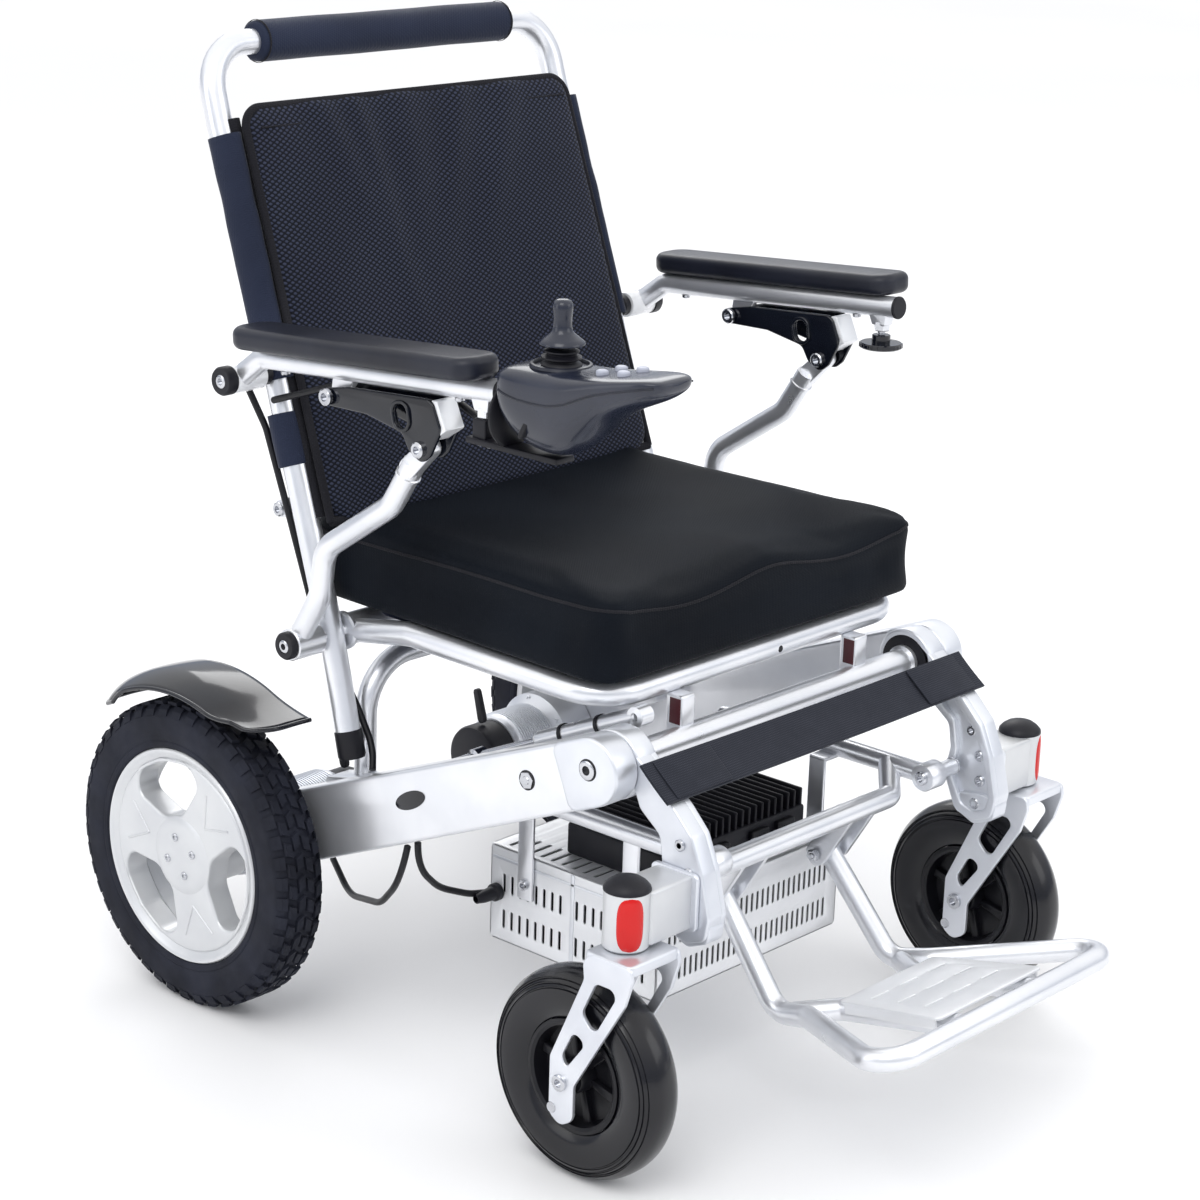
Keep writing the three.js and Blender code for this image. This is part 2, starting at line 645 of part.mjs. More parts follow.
function armPad(side) {
  const [near, far] = [side * PAD.inside, side * PAD.outside];
  const outline = roundedShape([[near, PAD.rear], [far, PAD.rear], [far, PAD.front], [near, PAD.front]], 20);
  const geometry = new THREE.ExtrudeGeometry(outline, {
    depth: PAD.top - PAD.under - 8, bevelThickness: 4, bevelSize: 4, bevelOffset: -4, bevelSegments: 1,
  });
  geometry.translate(0, 0, PAD.under + 4);
  geometry.applyMatrix4(new THREE.Matrix4().makeBasis(
    new THREE.Vector3(1, 0, 0),
    new THREE.Vector3(0, -Math.cos(ARM_RISE), Math.sin(ARM_RISE)),
    new THREE.Vector3(0, Math.sin(ARM_RISE), Math.cos(ARM_RISE))));
  geometry.translate(0, ARM_BEND.y, ARM_BEND.z);
  return orientSoup(geometry);
}

// The lever is a channel: two cheeks and a web round the arm's lug and the link's tongue.
function armLever(side) {
  const outline = [
    [LEVER_PIVOT.y + 11, LEVER_PIVOT.z + 6], alongArm(128, -13), alongArm(236, -13), alongArm(246, -40),
    [LINK_PIN.y - 13, LINK_PIN.z - 4], [LINK_PIN.y - 2, LINK_PIN.z - 13], [LINK_PIN.y + 14, LINK_PIN.z - 4],
    alongArm(196, -48), alongArm(150, -36), [LEVER_PIVOT.y + 8, LEVER_PIVOT.z - 9],
  ];
  const channel = [
    alongArm(80, -8), alongArm(134, -8), alongArm(134, -16.5), alongArm(229, -16.5),
    alongArm(236, -38), alongArm(256, -38), alongArm(256, -90), alongArm(80, -90),
  ];
  return cut(
    plate(side, [273, 301], roundedShape(outline, 9)),
    plate(side, [278, 296], roundedShape(channel, 2)),
    bar(side, [270, 304], LEVER_PIVOT, 4.8));
}

// The curved link runs from a collar on the seat pivot up to its tongue inside the lever.
function armLink(side) {
  const x = 285;
  const link = tube([
    [side * x, BACK_PIVOT.y - 3, BACK_PIVOT.z + 10], [side * x, 100, 460], [side * x, 93, 508],
    [side * x, 4, 568], [side * x, -25, 614],
  ], 11, 34);
  const collar = bar(side, [262.5, 297.5], BACK_PIVOT, 15.5, 16);
  const tongue = plate(side, [281, 293], strapShape([-22, 609], 10, inPlane(LINK_PIN), 9));
  const bore = bar(side, [255, 305], BACK_PIVOT, PIN_BORE);
  return cut(join(link, collar, tongue), bore);
}

for (const [name, side] of SIDES) {
  add(`arm_pivot_${name}`, armPivotPin(side), mattBlack());
  add(`arm_tube_${name}`, armTube(side), silver());
  add(`arm_pad_${name}`, armPad(side), mattBlack());
  add(`arm_lever_${name}`, armLever(side), glossBlack());
  add(`arm_link_${name}`, armLink(side), silver());
}

// The knob under the left arm turns on a threaded stub.
function armKnob() {
  const [y, z] = alongArm(FRONT_LUG.forwards, -FRONT_LUG.drop);
  return turnedAlongZ([
    [0, 0], [4, 0], [4, -4], [9.5, -4], [9.5, -11.5],
    [21, -11.5], [22, -13], [22, -16], [20, -17.5], [0, -17.5],
  ], 16).translate([ARM_X, y, z - FRONT_LUG.boss - GAP]);
}
add('arm_knob', armKnob(), mattBlack());

// ---- Joystick -----------------------------------------------------------
const KEYS = { power: [-12, -262], horn: [12, -262], slower: [-12, -286], faster: [12, -286] };

function joystickBracket() {
  const [y, lugFoot] = alongArm(FRONT_LUG.forwards, -FRONT_LUG.drop);
  const z = lugFoot - FRONT_LUG.boss - GAP;
  const reach = box([STICK.x - 12, STICK.x + 12], [-212, y + 14], [z - 23, z - 17]);
  const upright = box([STICK.x - 9, STICK.x + 9], [y - 8, y + 8], [z - 20, z]);
  const disc = new THREE.CylinderGeometry(31, 31, 5, 28);
  disc.translate(STICK.x, -149, 684);
  return join(reach, upright, solidOf(disc));
}

function joystickHousing() {
  const side = roundedShape([
    [-153, 724], [-164, 733], [-240, 737], [-322, 748], [-336, 742], [-328, 726], [-268, 700],
    [-244, 672], [-222, 658], [-182, 658], [-156, 694],
  ], 8);
  const seenFromSide = plate(-1, [ARM_X - 36, ARM_X + 36], side);
  const fromAbove = roundedShape([[-36, -150], [36, -150], [38, -240], [30, -338], [-30, -338], [-38, -240]], 20);
  const geometry = new THREE.ExtrudeGeometry(fromAbove, { depth: 120, bevelEnabled: false });
  geometry.translate(STICK.x, 0, 640);
  const well = post(STICK.x, STICK.y, [727, 760], 23);
  const keyholes = Object.values(KEYS).map(([x, y]) => post(STICK.x + x, y, [734, 770], 6.2, 12));
  return cut(seenFromSide.intersect(orientSoup(geometry)), well, ...keyholes);
}

function joystickBoot() {
  return turnedAlongZ([
    [0, 0], [17, 0], [18, 2], [13, 4.5], [16.5, 8], [12, 11], [13, 13], [8, 15], [0, 15],
  ], 14).translate([STICK.x, STICK.y, STICK.z]);
}

function joystickStick() {
  return turnedAlongZ([
    [0, 18.5], [19, 18.5], [20, 20], [9, 30], [8, 34], [9, 54], [6, 58], [0, 58],
  ], 14).translate([STICK.x, STICK.y, STICK.z]);
}

add('joystick_bracket', joystickBracket(), mattBlack());
add('joystick_housing', joystickHousing(), slate());
add('joystick_boot', joystickBoot(), mattBlack());
add('joystick_stick', joystickStick(), slate());
for (const [name, [x, y]] of Object.entries(KEYS)) {
  const height = 735.5 + 0.134 * -(y + 240);
  add(`key_${name}`, post(STICK.x + x, y, [height, height + 5], 5.6, 12), slate());
}

// ---- Cables that the chair holds ----------------------------------------
const CABLE_RADIUS = 3.5;
const cable = (corners, bendRadius) => tube(corners, CABLE_RADIUS, bendRadius, 8);

function motorCable(side) {
  return cable([
    [side * 246, 18, 218], [side * 244, 30, 178], [side * 214, 88, 128], [side * 166, 184, 94], [side * 132, 246, 106],
  ], 24);
}

add('motor_cable_right', motorCable(-1), mattBlack());
add('motor_cable_left', motorCable(1), mattBlack());
add('battery_cable', cable([
  [-246, 4, 226], [-243, 6, 198], [-208, 12, 166], [-172, 6, 151], [-139.2, 0, 146],
], 20), mattBlack());
add('joystick_cable_arm', cable([
  [-270, -100, 662], [-258, -40, 676], [-258, 80, 668], [-258, 196, 628],
], 20), mattBlack());
add('joystick_cable_back', cable([
  [-256, 239, 638], [-250, 216, 596], [-246, 190, 520], [-243, 158, 430], [-230, 142, 380], [-225, 112, 332],
  [-226, 88, 296], [-238, 76, 279],
], 30), mattBlack());

export default chair;
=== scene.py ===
import math

import bmesh
import bpy
from mathutils import Matrix, Vector
from mathutils.bvhtree import BVHTree


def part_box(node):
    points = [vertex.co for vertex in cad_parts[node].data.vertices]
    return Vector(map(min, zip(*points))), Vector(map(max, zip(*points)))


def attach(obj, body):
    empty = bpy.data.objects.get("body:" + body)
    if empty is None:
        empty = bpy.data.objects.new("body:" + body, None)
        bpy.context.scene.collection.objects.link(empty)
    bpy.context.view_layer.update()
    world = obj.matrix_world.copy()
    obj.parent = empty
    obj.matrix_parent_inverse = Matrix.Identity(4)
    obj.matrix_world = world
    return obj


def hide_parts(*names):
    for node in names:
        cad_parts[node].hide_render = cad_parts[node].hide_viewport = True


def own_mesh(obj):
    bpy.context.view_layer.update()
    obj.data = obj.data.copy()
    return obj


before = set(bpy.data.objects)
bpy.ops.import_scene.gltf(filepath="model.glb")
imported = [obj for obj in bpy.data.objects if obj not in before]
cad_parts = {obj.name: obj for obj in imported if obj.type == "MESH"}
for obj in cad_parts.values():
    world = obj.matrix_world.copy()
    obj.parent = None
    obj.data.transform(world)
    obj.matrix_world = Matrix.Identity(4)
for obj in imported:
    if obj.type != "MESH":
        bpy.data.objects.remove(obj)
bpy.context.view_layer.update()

# ---- Places ----------------------------------------------------------------
# Places are in millimetres with the rear axle at Y = 260. place() moves them to the row frame, in metres.
MM = 0.001
SHIFT = 53.0
SIDES = (("right", -1), ("left", 1))

REAR_AXLE = (260.0, 158.75)
BACK_PIVOT = (130.0, 406.0)
ARM_PIVOT = (212.0, 651.0)
LEVER_PIVOT = (72.0, 660.5)
LINK_PIN = (-47.0, 633.0)
FRONT_PIVOT = (-228.0, 365.0)
SUBFRAME_PIVOT = (-296.0, 272.0)
FOOTREST_PIVOT = (-239.0, 200.0)
CASTER_STEM = (299.0, -310.0)
CASTER_AXLE = (-268.0, 100.0)
WHEEL_X = 300.0
LINK_X = 285.0
STICK = (-287.0, -204.0, 735.0)
ARM_X = 287.0
KNOB_FORWARD, KNOB_ABOVE = 290, -19
ARM_BEND = (175.0, 678.0)
ARM_RISE = math.radians(4)
BACK_LEAN = math.atan2(168, 474)
FOOT_PLATE = {"rear": -379.0, "front": -500.0, "rear_half": 74.0, "front_half": 82.0, "under": 130.0}
FOOT_PLATE_TILT = math.atan2(28, 133)


def place(x, y, z):
    return Vector((x, y + SHIFT, z)) * MM


def along_arm(forwards, above):
    """(y, z) of a place on the arm: forwards of its bend, and above its tube."""
    return (
        ARM_BEND[0] - forwards * math.cos(ARM_RISE) + above * math.sin(ARM_RISE),
        ARM_BEND[1] + forwards * math.sin(ARM_RISE) + above * math.cos(ARM_RISE),
    )


def on_back(x, up, out):
    """A place on the leaning back: up from the hinge along the tubes, and out in front of them."""
    return (
        x,
        BACK_PIVOT[0] + up * math.sin(BACK_LEAN) - out * math.cos(BACK_LEAN),
        BACK_PIVOT[1] + up * math.cos(BACK_LEAN) + out * math.sin(BACK_LEAN),
    )


def across_chair(corners):
    """Corners on one side of the chair, then mirrored back along the other side."""
    return list(corners) + [(-x, y, z) for x, y, z in reversed(corners)]


# ---- Materials -------------------------------------------------------------
def new_material(name, roughness, metallic=0.0, coat=0.0, sheen=0.0, specular=0.5):
    material = bpy.data.materials.new(name + "_look")
    material.use_nodes = True
    nodes = material.node_tree.nodes
    shader = nodes["Principled BSDF"]
    shader.inputs["Roughness"].default_value = roughness
    shader.inputs["Metallic"].default_value = metallic
    shader.inputs["Coat Weight"].default_value = coat
    shader.inputs["Coat Roughness"].default_value = 0.06
    shader.inputs["Sheen Weight"].default_value = sheen
    shader.inputs["Sheen Roughness"].default_value = 0.45
    shader.inputs["Specular IOR Level"].default_value = specular
    return material, material.node_tree, shader


def noise(tree, scale, detail=3.0):
    coordinates = tree.nodes.new("ShaderNodeTexCoord")
    texture = tree.nodes.new("ShaderNodeTexNoise")
    texture.inputs["Scale"].default_value = scale
    texture.inputs["Detail"].default_value = detail
    tree.links.new(coordinates.outputs["Object"], texture.inputs["Vector"])
    return texture.outputs["Fac"]


def bands(tree, period, turn, distortion=0.0):
    """Straight bands of the given period in metres, turned about the chair's axes."""
    coordinates = tree.nodes.new("ShaderNodeTexCoord")
    mapping = tree.nodes.new("ShaderNodeMapping")
    mapping.inputs["Rotation"].default_value = [math.radians(angle) for angle in turn]
    texture = tree.nodes.new("ShaderNodeTexWave")
    texture.inputs["Scale"].default_value = 2 * math.pi / 20 / period
    texture.inputs["Distortion"].default_value = distortion
    tree.links.new(coordinates.outputs["Object"], mapping.inputs["Vector"])
    tree.links.new(mapping.outputs["Vector"], texture.inputs["Vector"])
    return texture.outputs["Fac"]


def mixed_colour(tree, factor, low, high, start=0.35, end=0.65):
    ramp = tree.nodes.new("ShaderNodeValToRGB")
    ramp.color_ramp.elements[0].position = start
    ramp.color_ramp.elements[0].color = (*low, 1)
    ramp.color_ramp.elements[1].position = end
    ramp.color_ramp.elements[1].color = (*high, 1)
    tree.links.new(factor, ramp.inputs["Fac"])
    return ramp.outputs["Color"]


def ranged(tree, factor, low, high):
    node = tree.nodes.new("ShaderNodeMapRange")
    node.inputs["To Min"].default_value = low
    node.inputs["To Max"].default_value = high
    tree.links.new(factor, node.inputs["Value"])
    return node.outputs["Result"]


def bump(tree, shader, height, distance, strength=0.5):
    node = tree.nodes.new("ShaderNodeBump")
    node.inputs["Distance"].default_value = distance
    node.inputs["Strength"].default_value = strength
    tree.links.new(height, node.inputs["Height"])
    tree.links.new(node.outputs["Normal"], shader.inputs["Normal"])


def plain_finish(name, low, high, roughness, grain, depth, spread=0.06, **shader_values):
    """A finish whose colour, roughness and surface vary with a noise of the given grain."""
    material, tree, shader = new_material(name, roughness, **shader_values)
    tree.links.new(mixed_colour(tree, noise(tree, 14), low, high), shader.inputs["Base Color"])
    rough = ranged(tree, noise(tree, 35), max(roughness - spread, 0.02), roughness + spread)
    tree.links.new(rough, shader.inputs["Roughness"])
    bump(tree, shader, noise(tree, grain), depth)
    return material


def both(tree, first, second, operation="MULTIPLY"):
    node = tree.nodes.new("ShaderNodeMath")
    node.operation = operation
    tree.links.new(first, node.inputs[0])
    tree.links.new(second, node.inputs[1])
    return node.outputs["Value"]


def mesh_fabric():
    """Open diamond mesh over navy cloth: two sets of diagonal threads with dark holes between, under a soft
    painted shade that varies with noise.
    """
    material, tree, shader = new_material("mesh_fabric", 0.7, sheen=0.08, specular=0.12)
    threads = both(tree, bands(tree, 0.0042, (0, 57, 0)), bands(tree, 0.0042, (0, -57, 0)))
    weave = mixed_colour(tree, threads, (0.003, 0.004, 0.008), (0.036, 0.043, 0.074), 0.05, 0.5)
    # Painted shade: a broad noise darkens the cloth in soft patches, standing in for the shading of its folds.
    painted_shade = mixed_colour(tree, noise(tree, 9), (0.82, 0.82, 0.86), (1.0, 1.0, 1.0))
    mix = tree.nodes.new("ShaderNodeMix")
    mix.data_type = "RGBA"
    mix.blend_type = "MULTIPLY"
    mix.inputs["Factor"].default_value = 1.0
    tree.links.new(weave, mix.inputs["A"])
    tree.links.new(painted_shade, mix.inputs["B"])
    tree.links.new(mix.outputs["Result"], shader.inputs["Base Color"])
    bump(tree, shader, threads, 0.0008, 0.7)
    return material


def woven_fabric(name, low, high, period, depth, sheen, roughness=0.85):
    """Plain weave: fine threads both ways, with a soft change of colour over the piece."""
    material, tree, shader = new_material(name, roughness, sheen=sheen, specular=0.09)
    tree.links.new(mixed_colour(tree, noise(tree, 7, 5), low, high), shader.inputs["Base Color"])
    threads = both(tree, bands(tree, period, (0, 0, 45)), bands(tree, period, (0, 60, -45)), "ADD")
    bump(tree, shader, both(tree, threads, noise(tree, 300), "ADD"), depth, 0.6)
    return material


def webbing_fabric():
    """Close-woven webbing."""
    material, tree, shader = new_material("webbing_fabric", 0.75, sheen=0.08, specular=0.15)
    weave = both(tree, bands(tree, 0.0014, (0, 90, 0), 0.4), bands(tree, 0.0020, (0, 0, 0), 0.4))
    cloth = mixed_colour(tree, both(tree, weave, noise(tree, 60, 5)), (0.016, 0.018, 0.026),
                         (0.040, 0.043, 0.058), 0.0, 0.5)
    tree.links.new(cloth, shader.inputs["Base Color"])
    bump(tree, shader, weave, 0.0003, 0.6)
    return material


def tyre_rubber():
    material, tree, shader = new_material("tyre_rubber", 0.7, specular=0.25)
    worn = mixed_colour(tree, noise(tree, 22, 6), (0.006, 0.007, 0.013), (0.014, 0.016, 0.027))
    tree.links.new(worn, shader.inputs["Base Color"])
    tree.links.new(ranged(tree, noise(tree, 60), 0.6, 0.85), shader.inputs["Roughness"])
    bump(tree, shader, noise(tree, 900, 4), 0.0003)
    return material


SILVER = plain_finish("satin_silver", (0.74, 0.755, 0.79), (0.83, 0.84, 0.87), 0.30, 320, 0.00002,
                      metallic=0.8, coat=0.25)
CAST_SILVER = plain_finish("cast_silver", (0.67, 0.69, 0.74), (0.76, 0.78, 0.82), 0.36, 260, 0.00004,
                           metallic=0.7, coat=0.15)
SHEET_SILVER = plain_finish("sheet_silver", (0.80, 0.81, 0.83), (0.86, 0.87, 0.89), 0.42, 300, 0.00003,
                            metallic=0.5)
RIM_WHITE = plain_finish("rim_white", (0.58, 0.59, 0.61), (0.65, 0.66, 0.67), 0.36, 300, 0.00003,
                         metallic=0.45, coat=0.2)
CHROME = plain_finish("chrome", (0.50, 0.51, 0.54), (0.60, 0.61, 0.64), 0.20, 300, 0.00002,
                      metallic=1.0, spread=0.04)
TYRE = tyre_rubber()
CASTER_RUBBER = plain_finish("caster_rubber", (0.003, 0.003, 0.005), (0.007, 0.007, 0.010), 0.20, 900,
                             0.00015, coat=0.15, specular=0.35)
HUB_BLACK = plain_finish("hub_black", (0.003, 0.003, 0.005), (0.008, 0.008, 0.011), 0.36, 1200, 0.0001,
                         specular=0.3)
GLOSS_BLACK = plain_finish("gloss_black", (0.003, 0.0035, 0.007), (0.006, 0.008, 0.014), 0.12, 500,
                           0.0001, coat=0.25, spread=0.03, specular=0.4)
MATT_BLACK = plain_finish("matt_black", (0.004, 0.004, 0.007), (0.010, 0.010, 0.015), 0.45, 1500, 0.0002,
                          specular=0.3)
PAD_VINYL = plain_finish("pad_vinyl", (0.006, 0.007, 0.013), (0.012, 0.014, 0.024), 0.36, 1700, 0.0003,
                         specular=0.35)
SLATE = plain_finish("joystick_slate", (0.012, 0.015, 0.028), (0.019, 0.023, 0.040), 0.24, 1800, 0.0001,
                     coat=0.3, specular=0.4)
SLATE_DARK = plain_finish("joystick_dark", (0.010, 0.012, 0.020), (0.016, 0.018, 0.030), 0.33, 1800,
                          0.0001, specular=0.35)
KEY_GREY = plain_finish("key_grey", (0.34, 0.36, 0.43), (0.42, 0.44, 0.52), 0.35, 1500, 0.0001)
CABLE_BLACK = plain_finish("cable_black", (0.003, 0.003, 0.005), (0.008, 0.008, 0.011), 0.4, 900, 0.0002,
                           specular=0.3)
REFLECTOR_RED = plain_finish("reflector_red", (0.52, 0.003, 0.003), (0.60, 0.006, 0.005), 0.16, 1200,
                             0.0001, coat=0.2, specular=0.3)
TRIM_RED = plain_finish("trim_red", (0.045, 0.004, 0.008), (0.070, 0.008, 0.014), 0.4, 900, 0.0001)
CLEAR_SLEEVE = plain_finish("clear_sleeve", (0.80, 0.81, 0.83), (0.85, 0.86, 0.88), 0.18, 600, 0.0001,
                            coat=0.8)
SEAT_CLOTH = woven_fabric("seat_cloth", (0.0016, 0.0028, 0.0055), (0.004, 0.006, 0.010), 0.0016, 0.00015,
                          0.0, 0.6)
SIDE_CLOTH = woven_fabric("side_cloth", (0.012, 0.016, 0.032), (0.020, 0.026, 0.050), 0.0018, 0.0002, 0.08,
                          0.6)
BINDING = woven_fabric("binding", (0.010, 0.010, 0.013), (0.018, 0.018, 0.022), 0.0022, 0.0003, 0.05)
MESH_CLOTH = mesh_fabric()
WEBBING = webbing_fabric()

# ---- Shapes ----------------------------------------------------------------
FINE = 2


def rounded_path(corners, bend, step=9):
    """The corners as vectors, each inner one replaced by an arc."""
    points = [Vector(corner) for corner in corners]
    path = [points[0]]
    for before_point, corner, after_point in zip(points, points[1:], points[2:]):
        before = (before_point - corner).normalized()
        after = (after_point - corner).normalized()
        turn = math.pi - before.angle(after)
        start = corner + before * bend * math.tan(turn / 2)
        centre = corner + (before + after).normalized() * bend / math.cos(turn / 2)
        axis = after.cross(before).normalized()
        steps = max(1, math.ceil(math.degrees(turn) / step))
        for k in range(steps + 1):
            path.append(centre + Matrix.Rotation(turn * k / steps, 3, axis) @ (start - centre))
    path.append(points[-1])
    return path


def rounded_outline(corners, radius, step=10):
    """A closed outline in a plane, with every corner rounded as far as its sides allow."""
    outline = []
    count = len(corners)
    for i in range(count):
        before, corner, after = (Vector((*corners[(i + k) % count], 0)) for k in (-1, 0, 1))
        turn = math.pi - (before - corner).angle(after - corner)
        reach = 0.45 * min((before - corner).length, (after - corner).length)
        fitted = min(radius, reach / math.tan(turn / 2))
        outline += [point.xy for point in rounded_path([before, corner, after], fitted, step)[1:-1]]
    return outline


def rectangle(across, along, radius, step=10):
    """The outline of a rectangle with rounded corners, between two pairs of limits."""
    (left, right), (low, high) = across, along
    return rounded_outline([(left, low), (right, low), (right, high), (left, high)], radius, step)


def circle(sides):
    """(cosine, sine) of every step of a full turn."""
    return [(math.cos(2 * math.pi * k / sides), math.sin(2 * math.pi * k / sides)) for k in range(sides)]


def on_wheel(centre, along, radius, degrees):
    """A place round an axle: along it, and out from it at an angle from straight behind."""
    angle = math.radians(degrees)
    x, y, z = centre
    return Vector((x + along, y + radius * math.cos(angle), z + radius * math.sin(angle)))


def round_outline(centre, radius, sides=32):
    return [Vector((centre[0] + radius * c, centre[1] + radius * s)) for c, s in circle(sides)]


def span(side, near, far):
    """Two distances from the middle of the chair as X limits on one side, the lower one first."""
    return tuple(sorted((side * near, side * far)))


def axes(across, along, up):
    """The turn that lays a flat shape's own axes along three directions."""
    return Matrix((across, along, up)).transposed().to_4x4()


def strap_outline(first, first_radius, last, last_radius, steps=14):
    """The outline of a strap round two circles."""
    first, last = Vector(first), Vector(last)
    along = math.atan2(last.y - first.y, last.x - first.x)
    lean = math.acos((first_radius - last_radius) / (last - first).length)
    outline = []
    for k in range(steps + 1):
        angle = along + lean + (2 * math.pi - 2 * lean) * k / steps
        outline.append(first + first_radius * Vector((math.cos(angle), math.sin(angle))))
    for k in range(steps + 1):
        angle = along - lean + 2 * lean * k / steps
        outline.append(last + last_radius * Vector((math.cos(angle), math.sin(angle))))
    return outline


def signed_area(outline):
    return 0.5 * sum(a.x * b.y - b.x * a.y for a, b in zip(outline, outline[1:] + outline[:1]))


def slab_mesh(outline, holes, thickness, edge, rounding=2):
    """A flat shape with holes, centred on its own plane, whose edges are rounded by edge."""
    curve = bpy.data.curves.new("slab", "CURVE")
    curve.dimensions = "2D"
    curve.fill_mode = "BOTH"
    curve.extrude = thickness / 2 - edge
    curve.bevel_depth = edge
    curve.bevel_resolution = rounding
    curve.offset = -edge
    for loop, turn in [(outline, 1)] + [(hole, -1) for hole in holes]:
        loop = [Vector(point) for point in loop]
        if signed_area(loop) * turn < 0:
            loop.reverse()
        spline = curve.splines.new("POLY")
        spline.points.add(len(loop) - 1)
        for point, corner in zip(spline.points, loop):
            point.co = (corner.x, corner.y, 0, 1)
        spline.use_cyclic_u = True
    holder = bpy.data.objects.new("slab", curve)
    mesh = bpy.data.meshes.new_from_object(holder)
    bpy.data.objects.remove(holder)
    bpy.data.curves.remove(curve)
    return mesh


class Shape:
    """Collects solids in millimetres, then becomes one piece of the chair."""

    def __init__(self):
        self.bm = bmesh.new()

    def tube(self, corners, radius, bend=40, sides=28, step=9):
        points = rounded_path(corners, bend, step)
        rings = []
        across = None
        for i, point in enumerate(points):
            into = point - points[max(i - 1, 0)]
            away = points[min(i + 1, len(points) - 1)] - point
            tangent = (into.normalized() + away.normalized()).normalized()
            if across is None:
                across = tangent.orthogonal().normalized()
            across = (across - tangent * across.dot(tangent)).normalized()
            other = tangent.cross(across)
            rings.append([self.bm.verts.new(point + (across * c + other * s) * radius)
                          for c, s in circle(sides)])
        self.skin(rings)
        self.bm.faces.new(list(reversed(rings[0])))
        self.bm.faces.new(rings[-1])
        return self

    def bridge(self, first, second):
        count = len(first)
        for k in range(count):
            self.bm.faces.new((first[k], first[(k + 1) % count], second[(k + 1) % count], second[k]))

    def skin(self, rings):
        """Faces between closed rings of vertices."""
        for first, second in zip(rings, rings[1:]):
            self.bridge(first, second)

    def sheet(self, grid):
        """Faces between open rows of vertices."""
        for first, second in zip(grid, grid[1:]):
            for j in range(len(first) - 1):
                self.bm.faces.new((first[j], first[j + 1], second[j + 1], second[j]))

    def lathe(self, centre, axis, profile, sides=48, closed=False):
        """Turns [radius, distance along the axis] about an axis through the centre."""
        axis = Vector(axis).normalized()
        across = axis.orthogonal().normalized()
        other = axis.cross(across)
        rings = []
        for radius, along in profile:
            middle = Vector(centre) + axis * along
            if radius <= 0:
                rings.append([self.bm.verts.new(middle)])
                continue
            rings.append([self.bm.verts.new(middle + radius * (across * c + other * s))
                          for c, s in circle(sides)])
        pairs = list(zip(rings, rings[1:])) + ([(rings[-1], rings[0])] if closed else [])
        for first, second in pairs:
            if len(first) == 1 and len(second) == 1:
                continue
            if len(first) == 1 or len(second) == 1:
                tip, ring = (first[0], second) if len(first) == 1 else (second[0], first)
                for k in range(sides):
                    self.bm.faces.new((tip, ring[k], ring[(k + 1) % sides]))
            else:
                self.bridge(first, second)
        return self

    def slab(self, side, x, outline, holes=(), edge=1.0, rounding=2):
        """A plate in the YZ plane between two distances from the middle of the chair."""
        mesh = slab_mesh(outline, holes, x[1] - x[0], edge, rounding)
        basis = Matrix(((0, 0, 1, side * (x[0] + x[1]) / 2), (1, 0, 0, 0), (0, 1, 0, 0), (0, 0, 0, 1)))
        return self.add_mesh(mesh, basis)

    def deck(self, z, outline, holes=(), edge=1.0, rounding=2, turn=None):
        """A plate in the XY plane between two heights."""
        mesh = slab_mesh(outline, holes, z[1] - z[0], edge, rounding)
        basis = Matrix.Translation((0, 0, (z[0] + z[1]) / 2))
        return self.add_mesh(mesh, turn @ basis if turn else basis)

    def wall(self, y, outline, holes=(), edge=1.0, rounding=2):
        """A plate in the XZ plane between two distances along the chair."""
        mesh = slab_mesh(outline, holes, y[1] - y[0], edge, rounding)
        basis = Matrix(((1, 0, 0, 0), (0, 0, -1, (y[0] + y[1]) / 2), (0, 1, 0, 0), (0, 0, 0, 1)))
        return self.add_mesh(mesh, basis)

    def block(self, x, y, z, edge=1.0):
        return self.deck(z, rectangle(x, y, edge, 30), edge=min(edge, (z[1] - z[0]) / 2.1))

    def add_mesh(self, mesh, matrix):
        mesh.transform(matrix)
        self.bm.from_mesh(mesh)
        bpy.data.meshes.remove(mesh)
        return self

    def bolt(self, centre, axis, radius, height):
        """A round bolt head with a socket, whose flat side is at the centre."""
        hole = radius * 0.5
        depth = height * 0.1
        return self.lathe(centre, axis, [
            (0, depth), (hole, depth), (hole, height * 0.98), (radius * 0.82, height),
            (radius, height * 0.75), (radius, 0), (0, 0)], sides=24)

    def nut(self, centre, axis, radius, height):
        """A hexagon nut with the end of its screw standing out of it."""
        self.lathe(centre, axis, [(0, height), (radius * 0.8, height), (radius, height * 0.8), (radius, 0),
                                  (0, 0)], sides=6)
        return self.lathe(centre, axis, [(0, height * 1.5), (radius * 0.42, height * 1.4),
                                         (radius * 0.5, height), (radius * 0.5, 0)], sides=20)

    def piece(self, name, body, material, *replaced, smooth=38):
        bmesh.ops.remove_doubles(self.bm, verts=self.bm.verts, dist=0.0005)
        bmesh.ops.recalc_face_normals(self.bm, faces=self.bm.faces)
        mesh = bpy.data.meshes.new(name)
        self.bm.to_mesh(mesh)
        self.bm.free()
        mesh.transform(Matrix.Translation((0, SHIFT * MM, 0)) @ Matrix.Scale(MM, 4))
        return add_piece(name, mesh, body, material, *replaced, smooth=smooth)


def add_piece(name, mesh, body, material, *replaced, smooth=38):
    mesh.materials.clear()
    mesh.materials.append(material)
    mesh.shade_smooth()
    mesh.set_sharp_from_angle(angle=math.radians(smooth))
    piece = bpy.data.objects.new(name, mesh)
    bpy.context.collection.objects.link(piece)
    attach(piece, body)
    if replaced:
        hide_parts(*replaced)
    return piece


